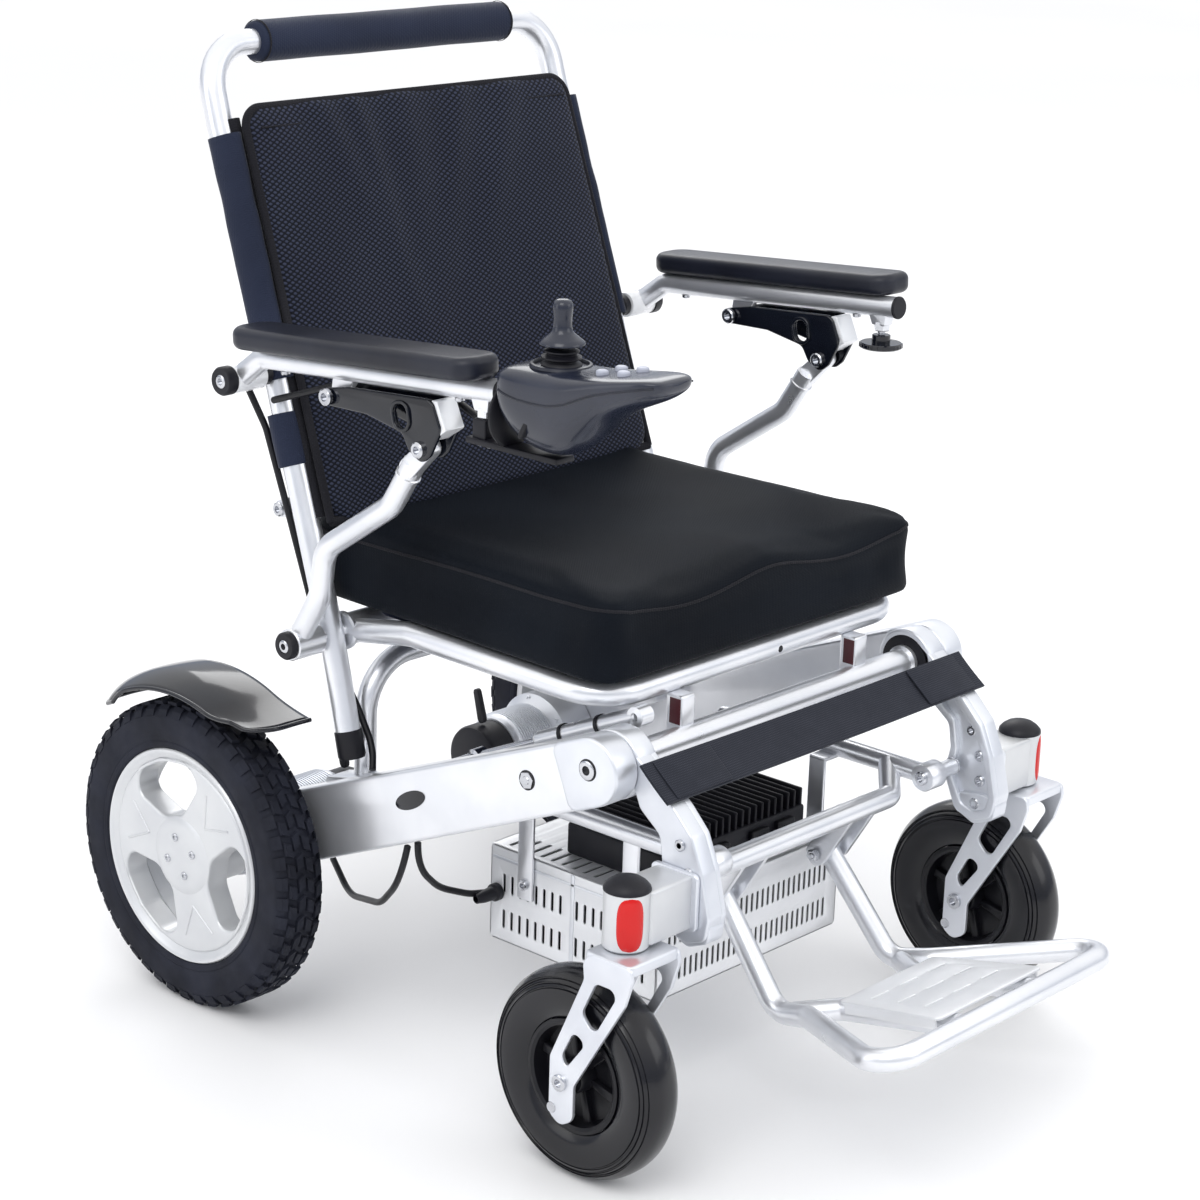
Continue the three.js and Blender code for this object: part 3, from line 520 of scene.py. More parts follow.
def refined(node, body, material, width):
    """A CAD node's own shape, with its edges rounded and its curved faces smooth."""
    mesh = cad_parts[node].data.copy()
    bm = bmesh.new()
    bm.from_mesh(mesh)
    bmesh.ops.remove_doubles(bm, verts=bm.verts, dist=0.00001)
    bmesh.ops.dissolve_limit(bm, angle_limit=math.radians(1), verts=bm.verts, edges=bm.edges)
    bm.to_mesh(mesh)
    bm.free()
    piece = add_piece(node + "_fine", mesh, body, material, node, smooth=180)
    modifier = piece.modifiers.new("edges", "BEVEL")
    modifier.width = width * MM
    modifier.segments = FINE + 1
    modifier.angle_limit = math.radians(33)
    modifier.harden_normals = True
    return piece


# ---- Camera ----------------------------------------------------------------
CAMERA_PLACE = (-2.0989, -1.8763 + SHIFT * MM, 1.2860)
CAMERA_TURN = (48.207, 17.109, 1.821)
CAMERA_LENS = 88.61


def camera():
    data = bpy.data.cameras.new("camera")
    data.sensor_width = 36
    data.lens = CAMERA_LENS
    yaw, pitch, roll = (math.radians(angle) for angle in CAMERA_TURN)
    forward = Vector((math.sin(yaw) * math.cos(pitch), math.cos(yaw) * math.cos(pitch), -math.sin(pitch)))
    level = Vector((math.cos(yaw), -math.sin(yaw), 0))
    upright = level.cross(forward)
    right = level * math.cos(roll) + upright * math.sin(roll)
    up = upright * math.cos(roll) - level * math.sin(roll)
    eye = bpy.data.objects.new("camera", data)
    eye.matrix_world = Matrix.Translation(CAMERA_PLACE) @ axes(right, up, -forward)
    bpy.context.collection.objects.link(eye)
    bpy.context.scene.camera = eye


camera()

# ---- Rear frame ------------------------------------------------------------
BEAM = (232.0, 262.0)


def end_casting():
    """The casting round the front pivot: round in front, and square behind it."""
    back = (Vector(REAR_AXLE) - Vector(FRONT_PIVOT)).normalized()
    up = Vector((-back.y, back.x))
    pivot = Vector(FRONT_PIVOT)
    outline = []
    for k in range(25):
        angle = math.pi * k / 24
        outline.append(pivot + 32.4 * (up * math.cos(angle) - back * math.sin(angle)))
    for down, far in ((-32.6, 30), (-30.5, 36), (-25, 39), (25, 39), (30.5, 36), (32.6, 30)):
        outline.append(pivot + up * down + back * far)
    return outline


def beams():
    for name, side in SIDES:
        shape = Shape()
        outline = strap_outline(REAR_AXLE, 38, FRONT_PIVOT, 32, 20)
        shape.slab(side, (BEAM[0] + 0.5, BEAM[1] - 0.5), outline, edge=4, rounding=3)
        shape.piece(f"beam_tube_{name}", "rear_frame", SILVER, f"beam_{name}")
        casting = Shape()
        casting.slab(side, BEAM, end_casting(), edge=3, rounding=3)
        casting.piece(f"beam_end_{name}", "rear_frame", CAST_SILVER)
        fasteners = Shape()
        fasteners.bolt((side * 261.5, -226, 367), (side, 0, 0), 9, 3)
        fasteners.nut((side * 261.5, -152, 337), (side, 0, 0), 8.5, 2)
        fasteners.bolt((side * 261.5, 205, 184), (side, 0, 0), 7, 3)
        fasteners.piece(f"beam_bolts_{name}", "rear_frame", CHROME)
        seats = Shape()
        for y, z, radius in ((-226, 367, 10.4), (-152, 337, 9.6), (205, 184, 8.2)):
            seat = [(0, 1.25), (radius, 1.25), (radius, 0), (0, 0)]
            seats.lathe((side * 260.9, y, z), (side, 0, 0), seat, 32)
        seats.piece(f"beam_bolt_seats_{name}", "rear_frame", HUB_BLACK)
        badge = Shape()
        oval = [Vector((-1 + 19 * math.cos(t) - 4 * math.sin(t), 275 + 11 * math.sin(t) - 6 * math.cos(t)))
                for t in (2 * math.pi * k / 40 for k in range(40))]
        badge.slab(side, (BEAM[1] - 1, BEAM[1] + 0.6), oval, edge=0.5)
        badge.piece(f"beam_badge_{name}", "rear_frame", GLOSS_BLACK)


FRAME_TUBE, SEAT_TUBE, BACK_TUBE_RADIUS = 11, 12, 12.5


def rear_arch():
    shape = Shape()
    shape.tube(across_chair([(208, 118, 250), (208, 118, 372)]), FRAME_TUBE, 55)
    gusset = rounded_outline([(92, 240), (100, 262), (150, 250), (150, 214)], 5)
    for _, side in SIDES:
        shape.slab(side, (201, BEAM[0] - 0.4), gusset, edge=1.5)
    shape.piece("arch_tube", "rear_frame", SILVER, "rear_arch")


def seat_frame():
    shape = Shape()
    shape.tube(across_chair([(217.5, 128, 405), (217.5, 46, 420), (217.5, -204, 417)]), SEAT_TUBE, 44)
    shape.tube([(-229, *BACK_PIVOT), (229, *BACK_PIVOT)], 16)
    for _, side in SIDES:
        shape.tube([(side * 220, *BACK_PIVOT), (side * 296, *BACK_PIVOT)], 6)
        shape.lathe((side * 224, *BACK_PIVOT), (side, 0, 0), [(16, 0), (19, 1), (19, 4), (16, 5)], 40)
    shape.piece("seat_tubes", "rear_frame", SILVER, "seat_frame")
    # Painted shade: a thin matt black disc on the front tube stands for the dark inside of a hole in it.
    hole = Shape()
    hole.lathe((20, -215.4, 416), (0, -1, 0), [(0, 0.9), (2.8, 0.9), (3.4, 0.4), (3.4, 0)], 20)
    hole.piece("seat_front_hole_shade", "rear_frame", MATT_BLACK)
    sling = Shape()
    outline = rounded_outline([(-212, -196), (212, -196), (205, 118), (-205, 118)], 30)
    sling.deck((424, 430.5), outline, edge=2)
    sling.piece("seat_sling", "rear_frame", SIDE_CLOTH)


def front_cross():
    shape = Shape()
    shape.tube([(-205.6, *FRONT_PIVOT), (205.6, *FRONT_PIVOT)], 14)
    for _, side in SIDES:
        middle = side * 130
        shape.block((middle - 9.5, middle + 9.5), (-230, -210), (FRONT_PIVOT[1], 408), 2.5)
        shape.tube([(side * 198, *FRONT_PIVOT), (side * 231.6, *FRONT_PIVOT)], 6)
        shape.lathe((side * 201.5, *FRONT_PIVOT), (side, 0, 0), [(14, -3), (17, -1), (17, 4)], 36)
    shape.piece("front_cross_bar", "rear_frame", SILVER, "front_cross_tube")
    trim = Shape()
    for _, side in SIDES:
        middle = side * 130
        trim.block((middle - 10.1, middle - 8), (-228, -215), (380, 405), 0.6)
    trim.piece("seat_post_trim", "rear_frame", TRIM_RED)


def motors():
    """Each inboard gear motor: a turned body with cooling ribs, a brake cap and a release lever."""
    for name, side in SIDES:
        centre = (side * WHEEL_X, *REAR_AXLE)
        inner = -(WHEEL_X - BEAM[0]) - 0.4
        shape = Shape()
        shape.lathe(centre, (side, 0, 0), [
            (0, -178), (38, -178), (40, -175), (41, -171), (41, -120), (44, -117), (51, -112), (51, inner),
            (17, inner), (17, -38), (8.5, -38), (8.5, -8), (0, -8)], 56)
        for k in range(6):
            shape.bolt(on_wheel(centre, side * -113, 46, 60 * k + 20), (-side, 0, 0), 3.2, 3)
        for k in range(14):
            shape.lathe(centre, (side, 0, 0), [(40.5, -168 + 3.4 * k), (42.2, -167.6 + 3.4 * k),
                                               (42.2, -166.4 + 3.4 * k), (40.5, -166 + 3.4 * k)], 48)
        shape.piece(f"motor_body_{name}", "rear_frame", CAST_SILVER, f"motor_{name}")
        cap = Shape()
        cap.lathe(centre, (side, 0, 0), [(0, -212), (31, -212), (34.5, -210.5), (36, -207), (36, -178),
                                         (0, -178)], 56)
        cap.piece(f"brake_cap_{name}", "rear_frame", MATT_BLACK)
        refined(f"brake_lever_{name}", f"brake_release_{name}", MATT_BLACK, 0.8)


FENDER_ANGLES = (math.radians(47), math.radians(127))
FENDER_X = (262.6, 336.5)
FENDER_RADIUS = 184


def fender_spot(side, share, across):
    """A place on the fender: its share of the way from rear to front, and of the way outwards."""
    start, end = FENDER_ANGLES
    inner, outer = FENDER_X
    corner = 1 - math.sqrt(1 - max(0.0, (across - 0.45) / 0.55) ** 2)
    low, high = start + math.radians(11) * corner, end - math.radians(9) * corner
    angle = low + (high - low) * share
    lip = 15 * max(0.0, (share - 0.8) / 0.2) ** 2
    tuck = -6 * max(0.0, (0.16 - share) / 0.16) ** 2
    crown = 4 * math.sin(math.pi * min(1.0, 0.25 + across * 0.75)) - 9 * max(0.0, across - 0.5) ** 2 * 4
    axle = (0, *REAR_AXLE)
    return on_wheel(axle, side * (inner + (outer - inner) * across), FENDER_RADIUS + lip + tuck + crown,
                    math.degrees(angle))


def fenders():
    """Each fender is a thin sheet with a bead round its three free edges, on a slotted stay."""
    rows, columns = 46, 16
    for name, side in SIDES:
        shape = Shape()
        grid = [[shape.bm.verts.new(fender_spot(side, i / rows, j / columns)) for j in range(columns + 1)]
                for i in range(rows + 1)]
        shape.sheet(grid)
        rim = [vert.co.copy() for vert in grid[0]]
        rim += [line[-1].co.copy() for line in grid[1:-1]]
        rim += [vert.co.copy() for vert in reversed(grid[-1])]
        bmesh.ops.recalc_face_normals(shape.bm, faces=shape.bm.faces)
        sheet = shape.piece(f"fender_sheet_{name}", "rear_frame", GLOSS_BLACK, f"fender_{name}",
                            smooth=60)
        thick = sheet.modifiers.new("thickness", "SOLIDIFY")
        thick.thickness = 2.6 * MM
        thick.offset = 0
        bead = Shape()
        bead.tube(rim, 2.3, 0.01, 12)
        bead.piece(f"fender_bead_{name}", "rear_frame", GLOSS_BLACK)
        stay = Shape()
        stay_outline = rounded_outline([(236, 172), (284, 172), (276, 345), (244, 345)], 4)
        slot = rounded_outline([(252, 205), (268, 205), (266, 320), (254, 320)], 6)
        stay.slab(side, (262.8, 266), stay_outline, [slot], edge=1)
        stay.piece(f"fender_stay_{name}", "rear_frame", GLOSS_BLACK)


def gas_spring():
    rear, middle, front = (-188, -18, 306), (-188, -100, 344), (-188, -222, 400)
    shape = Shape()
    shape.tube([rear, middle], 4)
    shape.block((-231.6, -184), (-25, -11), (296, 309), 2)
    direction = (Vector(rear) - Vector(middle)).normalized()
    shape.lathe(rear, (1, 0, 0), [(4, -8), (8, -7), (8, 7), (4, 8)], 30)
    shape.piece("gas_spring_rod", "rear_frame", CHROME, "gas_spring")
    body = Shape()
    body.tube([middle, front], 9)
    body.lathe(middle, direction, [(9, -2), (9, 1), (7, 4), (4, 4.5)], 30)
    body.lathe(front, (1, 0, 0), [(4, -9), (9.5, -8), (9.5, 8), (4, 9)], 30)
    body.piece("gas_spring_cylinder", "rear_frame", SILVER)
    ties = Shape()
    for share in (0.25, 0.62):
        spot = Vector(middle).lerp(Vector(front), share)
        ties.lathe(spot, direction, [(9.1, -2), (10.2, -2), (10.2, 2), (9.1, 2)], 30)
    ties.piece("gas_spring_ties", "rear_frame", MATT_BLACK)


beams()
rear_arch()
seat_frame()
front_cross()
motors()
fenders()
gas_spring()


# ---- Rear wheels -----------------------------------------------------------
def tyre_tread(shape, centre):
    """Rows of blocks round the tyre, and one row of blocks on each shoulder."""
    blocks = 46
    pitch = 360 / blocks
    # Each row: inner and outer distance from the middle, skew, and shift round the tyre.
    rows = [(1.7, 9.6, 1.6, 0.0), (12.4, 20.0, -1.2, 0.5)]
    for k in range(blocks):
        for sign in (-1, 1):
            stagger = 0.25 if sign > 0 else 0
            for near, far, skew, shift in rows:
                tread_block(shape, centre, sign, near, far, pitch * (k + shift + stagger), pitch * 0.67,
                            skew)
            shoulder_block(shape, centre, sign, pitch * (k + stagger), pitch * 0.62)


def hexahedron(shape, corners):
    verts = [shape.bm.verts.new(corner) for corner in corners]
    for face in ((0, 1, 2, 3), (7, 6, 5, 4), (0, 4, 5, 1), (1, 5, 6, 2), (2, 6, 7, 3), (3, 7, 4, 0)):
        shape.bm.faces.new([verts[i] for i in face])


def tread_block(shape, centre, sign, near, far, begin, size, skew):
    """One block between two radii, a little smaller at its top."""
    corners = []
    for radius, shrink in ((155.2, 0.0), (158.7, 0.35)):
        for along, angle in ((near, begin), (far, begin + skew), (far, begin + size + skew),
                             (near, begin + size)):
            inward = shrink if angle in (begin, begin + skew) else -shrink
            drop = 0.0 if along < 15 else 0.0022 * (along - 12) ** 2 * 2
            corners.append(on_wheel(centre, sign * along, radius - drop, angle + inward))
    hexahedron(shape, corners)


def shoulder_block(shape, centre, sign, begin, size):
    profile = [((21.5, 155.6), (20.8, 150)), ((25.8, 151.5), (24.2, 148)), ((28.3, 145.5), (26.5, 144.5))]
    for (top_a, low_a), (top_b, low_b) in zip(profile, profile[1:]):
        corners = []
        for first, second in ((low_a, low_b), (top_a, top_b)):
            for (along, radius), angle in ((first, begin), (second, begin), (second, begin + size),
                                           (first, begin + size)):
                corners.append(on_wheel(centre, sign * along, radius, angle))
        hexahedron(shape, corners)


def rear_wheels():
    for name, side in SIDES:
        centre = (side * WHEEL_X, *REAR_AXLE)
        body = f"rear_wheel_{name}"
        shape = Shape()
        half = 28.5
        wall = [(112, half - 2.2), (114, half - 0.6), (118, half - 0.2), (119.5, half - 0.9),
                (121, half - 0.2), (132, half), (141, half - 0.3), (144.5, half - 0.6),
                (148, half - 2.8), (151.5, half - 6.2), (154, half - 11), (155.4, half - 17), (155.7, 1.0)]
        profile = wall + [(155.7, -1.0)] + [(radius, -along) for radius, along in reversed(wall[:-1])]
        shape.lathe(centre, (side, 0, 0), profile, 120, closed=True)
        tyre_tread(shape, centre)
        shape.piece(f"drive_tyre_{name}", body, TYRE, f"rear_tyre_{name}", smooth=30)
        rear_rim(name, side, centre, body)


def rear_rim(name, side, centre, body):
    """A rim with three windows, its hub, four bolts and three raised V-shaped ribs."""
    shape = Shape()
    shape.lathe(centre, (side, 0, 0), [
        (104, -25), (111.4, -25), (111.4, 26), (110.2, 27.6), (108.2, 27.6), (106, 26.4), (103.5, 24.4),
        (101, 23.8), (99, 22), (99, -1), (103, -4)], 120, closed=True)
    windows = []
    middle = Vector(centre[1:])
    for degrees in (72, 192, 312):
        angle = math.radians(degrees)
        out = Vector((math.cos(angle), math.sin(angle)))
        over = Vector((-out.y, out.x))
        half_outline = [(41, 15), (68, 49), (90, 40)]
        corners = [middle + out * a - over * b for a, b in half_outline] + [middle + out * 98]
        corners += [middle + out * a + over * b for a, b in reversed(half_outline)]
        windows.append(rounded_outline([tuple(corner) for corner in corners], 20, 8))
    shape.slab(side, (WHEEL_X - 3, WHEEL_X + 24.5), round_outline(centre[1:], 100.5, 120), windows,
               edge=3, rounding=4)
    shape.lathe(centre, (side, 0, 0), [(36, -34), (36, -3), (9.4, -3), (9.4, -34)], 64, closed=True)
    shape.lathe(centre, (side, 0, 0), [(0, 27.5), (31, 27), (37, 25.8), (41, 24)], 64)
    shape.piece(f"drive_rim_{name}", body, RIM_WHITE, f"rear_rim_{name}", smooth=32)
    bolts = Shape()
    for k in range(4):
        spot = on_wheel(centre, side * 26.6, 20, 70 + 90 * k)
        bolts.bolt(spot, (side, 0, 0), 4.2, 2.2)
    bolts.piece(f"rim_bolts_{name}", body, CHROME)
    marks = Shape()
    for degrees in (12, 132, 252):
        for lean in (-1, 1):
            tip = on_wheel(centre, side * 24.2, 52, degrees)
            end = on_wheel(centre, side * 24.2, 84, degrees + lean * 15)
            marks.tube([tip, end], 1.3, sides=10)
    marks.piece(f"rim_ribs_{name}", body, RIM_WHITE)


rear_wheels()


# ---- Front brackets and casters --------------------------------------------
BRACKET = (206.0, 231.5)
BRACKET_OUTLINE = [
    (-262, 332), (-286, 314), (-290, 290), (-284, 262), (-300, 226), (-322, 220), (-344, 228),
    (-348, 250), (-338, 290), (-324, 322), (-304, 342), (-262, 376), (-232, 398),
]
BRACKET_POCKET = [
    (-266, 342), (-293, 319), (-298, 290), (-293, 262), (-307, 235), (-322, 230), (-336, 236),
    (-339, 250), (-329, 290), (-316, 316), (-298, 333), (-262, 362),
]


def front_brackets():
    for name, side in SIDES:
        outline = rounded_outline(BRACKET_OUTLINE, 12, 8)
        pocket = rounded_outline(BRACKET_POCKET, 8, 8)
        shape = Shape()
        shape.slab(side, (BRACKET[0] + 6, BRACKET[1]), outline, edge=2.5, rounding=3)
        shape.slab(side, (BRACKET[0], BRACKET[0] + 8), outline, [pocket], edge=2, rounding=3)
        shape.slab(side, BRACKET, round_outline(FRONT_PIVOT, 33, 64), [round_outline(FRONT_PIVOT, 6.6, 24)],
                   edge=3, rounding=3)
        foot = [(-300, 226), (-322, 216), (-346, 226), (-348, 246), (-330, 250), (-300, 246)]
        shape.slab(side, (BRACKET[0] + 2, BRACKET[1] - 2), rounded_outline(foot, 10), edge=2)
        shape.piece(f"bracket_{name}", "front_frame", CAST_SILVER, f"front_bracket_{name}")
        disc = Shape()
        disc.lathe((side * 206.4, *FRONT_PIVOT), (-side, 0, 0),
                   [(14.3, 1.6), (25, 1.6), (27, 0.8), (27, 0), (14.3, 0)], 48, closed=True)
        disc.piece(f"bracket_seal_{name}", "front_frame", MATT_BLACK)
        bolts = Shape()
        for y, z in ((-312, 312), (-323, 288), (-325, 262)):
            bolts.bolt((side * 212.2, y, z), (-side, 0, 0), 5.5, 4)
            bolts.bolt((side * 231.2, y, z), (side, 0, 0), 5.5, 3)
        bolts.bolt((side * 212, -322, 238), (-side, 0, 0), 6, 5)
        bolts.piece(f"bracket_bolts_{name}", "front_frame", CHROME)


def stem_housings():
    for name, side in SIDES:
        x, y = side * CASTER_STEM[0], CASTER_STEM[1]
        shape = Shape()
        shape.lathe((x, y, 236), (0, 0, 1), [(19.5, 0), (21, 1.5), (21, 54), (20, 55), (0, 55)], 56)
        shape.lathe((x, y, 236), (0, 0, 1), [(0, 0), (19.5, 0)], 56)
        shape.block(span(side, BRACKET[1] + 0.4, 290), (-331, -289), (238, 289), 3)
        shape.piece(f"stem_block_{name}", "front_frame", RIM_WHITE, f"stem_housing_{name}")
        slotted = Shape()
        slot = rectangle((-322, -314), (248, 279), 4)
        slotted.slab(side, (232, 237), rectangle((-337, -283), (236, 291), 6), [slot], edge=1.2)
        slotted.piece(f"stem_flange_{name}", "front_frame", CAST_SILVER)
        dome = Shape()
        dome.lathe((x, y, 289), (0, 0, 1), [(0, 13), (7, 12.4), (13, 10.3), (18, 6.9), (21, 3.4),
                                            (21.5, 1.4), (21.5, 0.4), (19, 0), (0, 0)], 56)
        dome.piece(f"stem_dome_{name}", "front_frame", MATT_BLACK)
        reflector = Shape()
        turn = math.radians(-128 if side < 0 else -52)
        reflector_shell(reflector, (x, y), turn)
        reflector.piece(f"stem_reflector_{name}", "front_frame", REFLECTOR_RED, smooth=60)


def reflector_shell(shape, middle, facing):
    """A tall rounded lens that wraps the outer front of the stem housing."""
    rows, columns = 24, 20
    height, low, half_angle = 52.0, 237.0, math.radians(37)
    grid = []
    for i in range(rows + 1):
        up = -1 + 2 * i / rows
        width = (1 - abs(up) ** 3.2) ** (1 / 2.4) if abs(up) < 1 else 0.0
        line = []
        for j in range(columns + 1):
            across = -1 + 2 * j / columns
            swell = 1.9 * (1 - across ** 4) * (1 - up ** 6)
            angle = facing + half_angle * across * width
            radius = 20.6 + swell
            spot = (middle[0] + radius * math.cos(angle), middle[1] + radius * math.sin(angle),
                    low + height * (up + 1) / 2)
            line.append(shape.bm.verts.new(spot))
        grid.append(line)
    shape.sheet(grid)


FORK_LEG = [(-36, 234), (12, 234), (20, 224), (18, 208), (56, 122), (56, 66), (42, 57), (27, 66),
            (27, 100), (-30, 196), (-38, 222)]
FORK_WINDOWS = [[(-24, 208), (4, 208), (20, 174), (4, 158)], [(14, 146), (28, 154), (42, 126), (36, 116)]]


def caster_forks():
    for name, side in SIDES:
        x, y = side * CASTER_STEM[0], CASTER_STEM[1]
        axle = (CASTER_AXLE[0], CASTER_AXLE[1])
        shape = Shape()
        shape.deck((224, 235), rectangle((x - 33, x + 33), (y - 36, y + 20), 7), edge=2.5, rounding=3)
        leg = [(y + a, b) for a, b in FORK_LEG]
        windows = [rounded_outline([(y + a, b) for a, b in window], 8, 12) for window in FORK_WINDOWS]
        for hand in (-1, 1):
            middle = side * x + hand * side * 31
            shape.slab(side, (middle - 2.4, middle + 2.4), rounded_outline(leg, 11, 10), windows, edge=1.2,
                       rounding=3)
        shape.lathe((x - 29, *axle), (1, 0, 0), [(0, 0), (5, 0), (5, 58), (0, 58)], 24)
        shape.piece(f"fork_{name}", f"caster_swivel_{name}", CAST_SILVER, f"caster_fork_{name}")
        bolts = Shape()
        for hand in (-1, 1):
            bolts.bolt((x + hand * 33.2, *axle), (hand, 0, 0), 8, 4)
            bolts.lathe((x + hand * 33.2, axle[0] + 10, axle[1] - 28), (hand, 0, 0),
                        [(0, 0.5), (3.6, 0.5), (5, 0.9), (5.4, 0)], 24)
        bolts.piece(f"fork_bolts_{name}", f"caster_swivel_{name}", CHROME)


def caster_wheels():
    """Each caster wheel: a grooved tyre on a hub with six spokes."""
    for name, side in SIDES:
        centre = (side * CASTER_STEM[0], *CASTER_AXLE)
        body = f"caster_wheel_{name}"
        half = 23.0
        shoulder = [(55, half - 6.5), (58, half - 4), (66, half - 1.2), (76, half), (82, half - 0.2)]
        for radius, along in ((84, 22.6), (88, 21.4), (92, 19.0)):
            shoulder += [(radius - 0.7, along), (radius, along - 1.3), (radius + 0.9, along - 1.2),
                         (radius + 1.5, along - 0.2)]
        shoulder += [(96.5, 14.5), (99, 9.5), (99.9, 4.5)]
        profile = shoulder + [(100, 0)] + [(radius, -along) for radius, along in reversed(shoulder)]
        shape = Shape()
        shape.lathe(centre, (1, 0, 0), profile, 96, closed=True)
        shape.piece(f"caster_rubber_{name}", body, CASTER_RUBBER, f"caster_tyre_{name}", smooth=28)
        hub = Shape()
        hub.lathe(centre, (1, 0, 0), [(54.3, -18), (54.3, 18), (51, 18.6), (48, 17), (45.5, 6), (45, 0),
                                      (45.5, -6), (48, -17), (51, -18.6)], 72, closed=True)
        hub.lathe(centre, (1, 0, 0), [(5.7, -21), (14, -21), (15.5, -19), (17, 0), (15.5, 19), (14, 21),
                                      (5.7, 21)], 48, closed=True)
        hub.lathe(centre, (1, 0, 0), [(15, -3), (48, -3), (48, 3), (15, 3)], 72, closed=True)
        for k in range(6):
            angle = 60 * k + 15
            outline = [on_wheel(centre, 0, radius, angle + spread)
                       for radius, spread in ((13, -14), (47, -6), (47, 6), (13, 14))]
            hub.slab(side, (CASTER_STEM[0] - 9, CASTER_STEM[0] + 9),
                     [(corner.y, corner.z) for corner in outline], edge=1.6)
        hub.piece(f"caster_spokes_{name}", body, HUB_BLACK, f"caster_hub_{name}")


STRAP_LENGTH, STRAP_WIDTH = 480.0, 44.0


def calf_strap():
    """The strap sags a little between the brackets, with its stitched ends doubled."""
    lean = math.atan2(376 - 342, -262 + 304)
    along = Vector((0, math.cos(lean), math.sin(lean)))
    out = Vector((0, -math.sin(lean), math.cos(lean)))
    middle = Vector((0, -285, 362.6))
    half_length, half_width = STRAP_LENGTH / 2, STRAP_WIDTH / 2
    columns, rows = 80, 8
    shape = Shape()
    layers = []
    for height in (1.2, -1.2):
        grid = []
        for i in range(columns + 1):
            x = -half_length + 2 * half_length * i / columns
            sag = 3.0 * (1 - (x / half_length) ** 2) ** 2
            line = []
            for j in range(rows + 1):
                across = -1 + 2 * j / rows
                curl = 0.8 * across ** 2
                spot = middle + Vector((x, 0, 0)) + along * across * half_width
                line.append(shape.bm.verts.new(spot + out * (height + curl - sag)))
            grid.append(line)
        layers.append(grid)
    top, bottom = layers
    for i in range(columns):
        for j in range(rows):
            shape.bm.faces.new((top[i][j], top[i + 1][j], top[i + 1][j + 1], top[i][j + 1]))
            shape.bm.faces.new((bottom[i][j], bottom[i][j + 1], bottom[i + 1][j + 1], bottom[i + 1][j]))
    for j in (0, rows):
        for i in range(columns):
            shape.bm.faces.new((top[i][j], bottom[i][j], bottom[i + 1][j], top[i + 1][j]))
    for i in (0, columns):
        for j in range(rows):
            shape.bm.faces.new((top[i][j], top[i][j + 1], bottom[i][j + 1], bottom[i][j]))
    strap = shape.piece("strap_webbing", "front_frame", WEBBING, "calf_strap", smooth=60)
    lap = Shape()
    for _, side in SIDES:
        mesh = slab_mesh(rectangle(span(side, 150, 226), (-20.5, 20.5), 2), [], 2.0, 0.7)
        lap.add_mesh(mesh, Matrix.Translation(middle + out * 2.0) @ axes(Vector((1, 0, 0)), along, out))
    lap.piece("strap_laps", "front_frame", WEBBING)


front_brackets()
stem_housings()
caster_forks()
caster_wheels()
calf_strap()


# ---- Sub-frame, battery box and foot rest -----------------------------------
def subframe():
    """The tubes that carry the battery box and the foot rest, with their lugs and bolts."""
    link = 165
    shape = Shape()
    for _, side in SIDES:
        shape.tube([(side * link, -30, 266), (side * link, -92, 272),
                    (side * link, SUBFRAME_PIVOT[0] - 6, SUBFRAME_PIVOT[1])], 10, 60)
        shape.lathe((side * (link - 12), *SUBFRAME_PIVOT), (side, 0, 0), [
            (0, 0), (13, 0), (14, 1.5), (14, 22), (13, 23.5), (8, 24), (8, 52.6), (0, 52.6)], 40)
        for x in ((62, 68), (96, 102)):
            lug = strap_outline((-268, 248), 12, FOOTREST_PIVOT, 12)
            shape.slab(side, x, lug, edge=1)
        shape.tube([(side * 60, *FOOTREST_PIVOT), (side * 104, *FOOTREST_PIVOT)], 4)
        for y in (-176, -40):
            shape.block(span(side, 138.8, link), (y - 10, y + 10), (262, 266), 1.2)
            shape.block(span(side, 138.8, 142.5), (y - 10, y + 10), (150, 265), 1.2)
    shape.tube(across_chair([(link, -246, 272), (138, -270, 250)]), FRAME_TUBE, 14)
    shape.piece("lower_tubes", "lower_frame", SILVER, "subframe")
    bolts = Shape()
    for _, side in SIDES:
        bolts.bolt((side * 104, *FOOTREST_PIVOT), (side, 0, 0), 6.5, 4)
        bolts.nut((side * 60, *FOOTREST_PIVOT), (-side, 0, 0), 6.5, 5)
        bolts.bolt((side * 205, *SUBFRAME_PIVOT), (-side, 0, 0), 9, 2)
        bolts.bolt((side * (link - 12), *SUBFRAME_PIVOT), (-side, 0, 0), 7, 4)
        for y in (-176, -40):
            bolts.bolt((side * 142.6, y, 166), (side, 0, 0), 5.5, 4)
    bolts.piece("lower_bolts", "lower_frame", CHROME)


BOX_X, BOX_Y, BOX_Z = 138.0, (-210.0, 10.0), (95.0, 195.0)


def slots(first, last, pitch, low, high, half=1.7):
    """A row of upright slots with round ends."""
    row = []
    count = int((last - first) / pitch) + 1
    for k in range(count):
        middle = first + k * pitch
        row.append(strap_outline((middle, low + half), half, (middle, high - half), half + 0.001, 5))
    return row


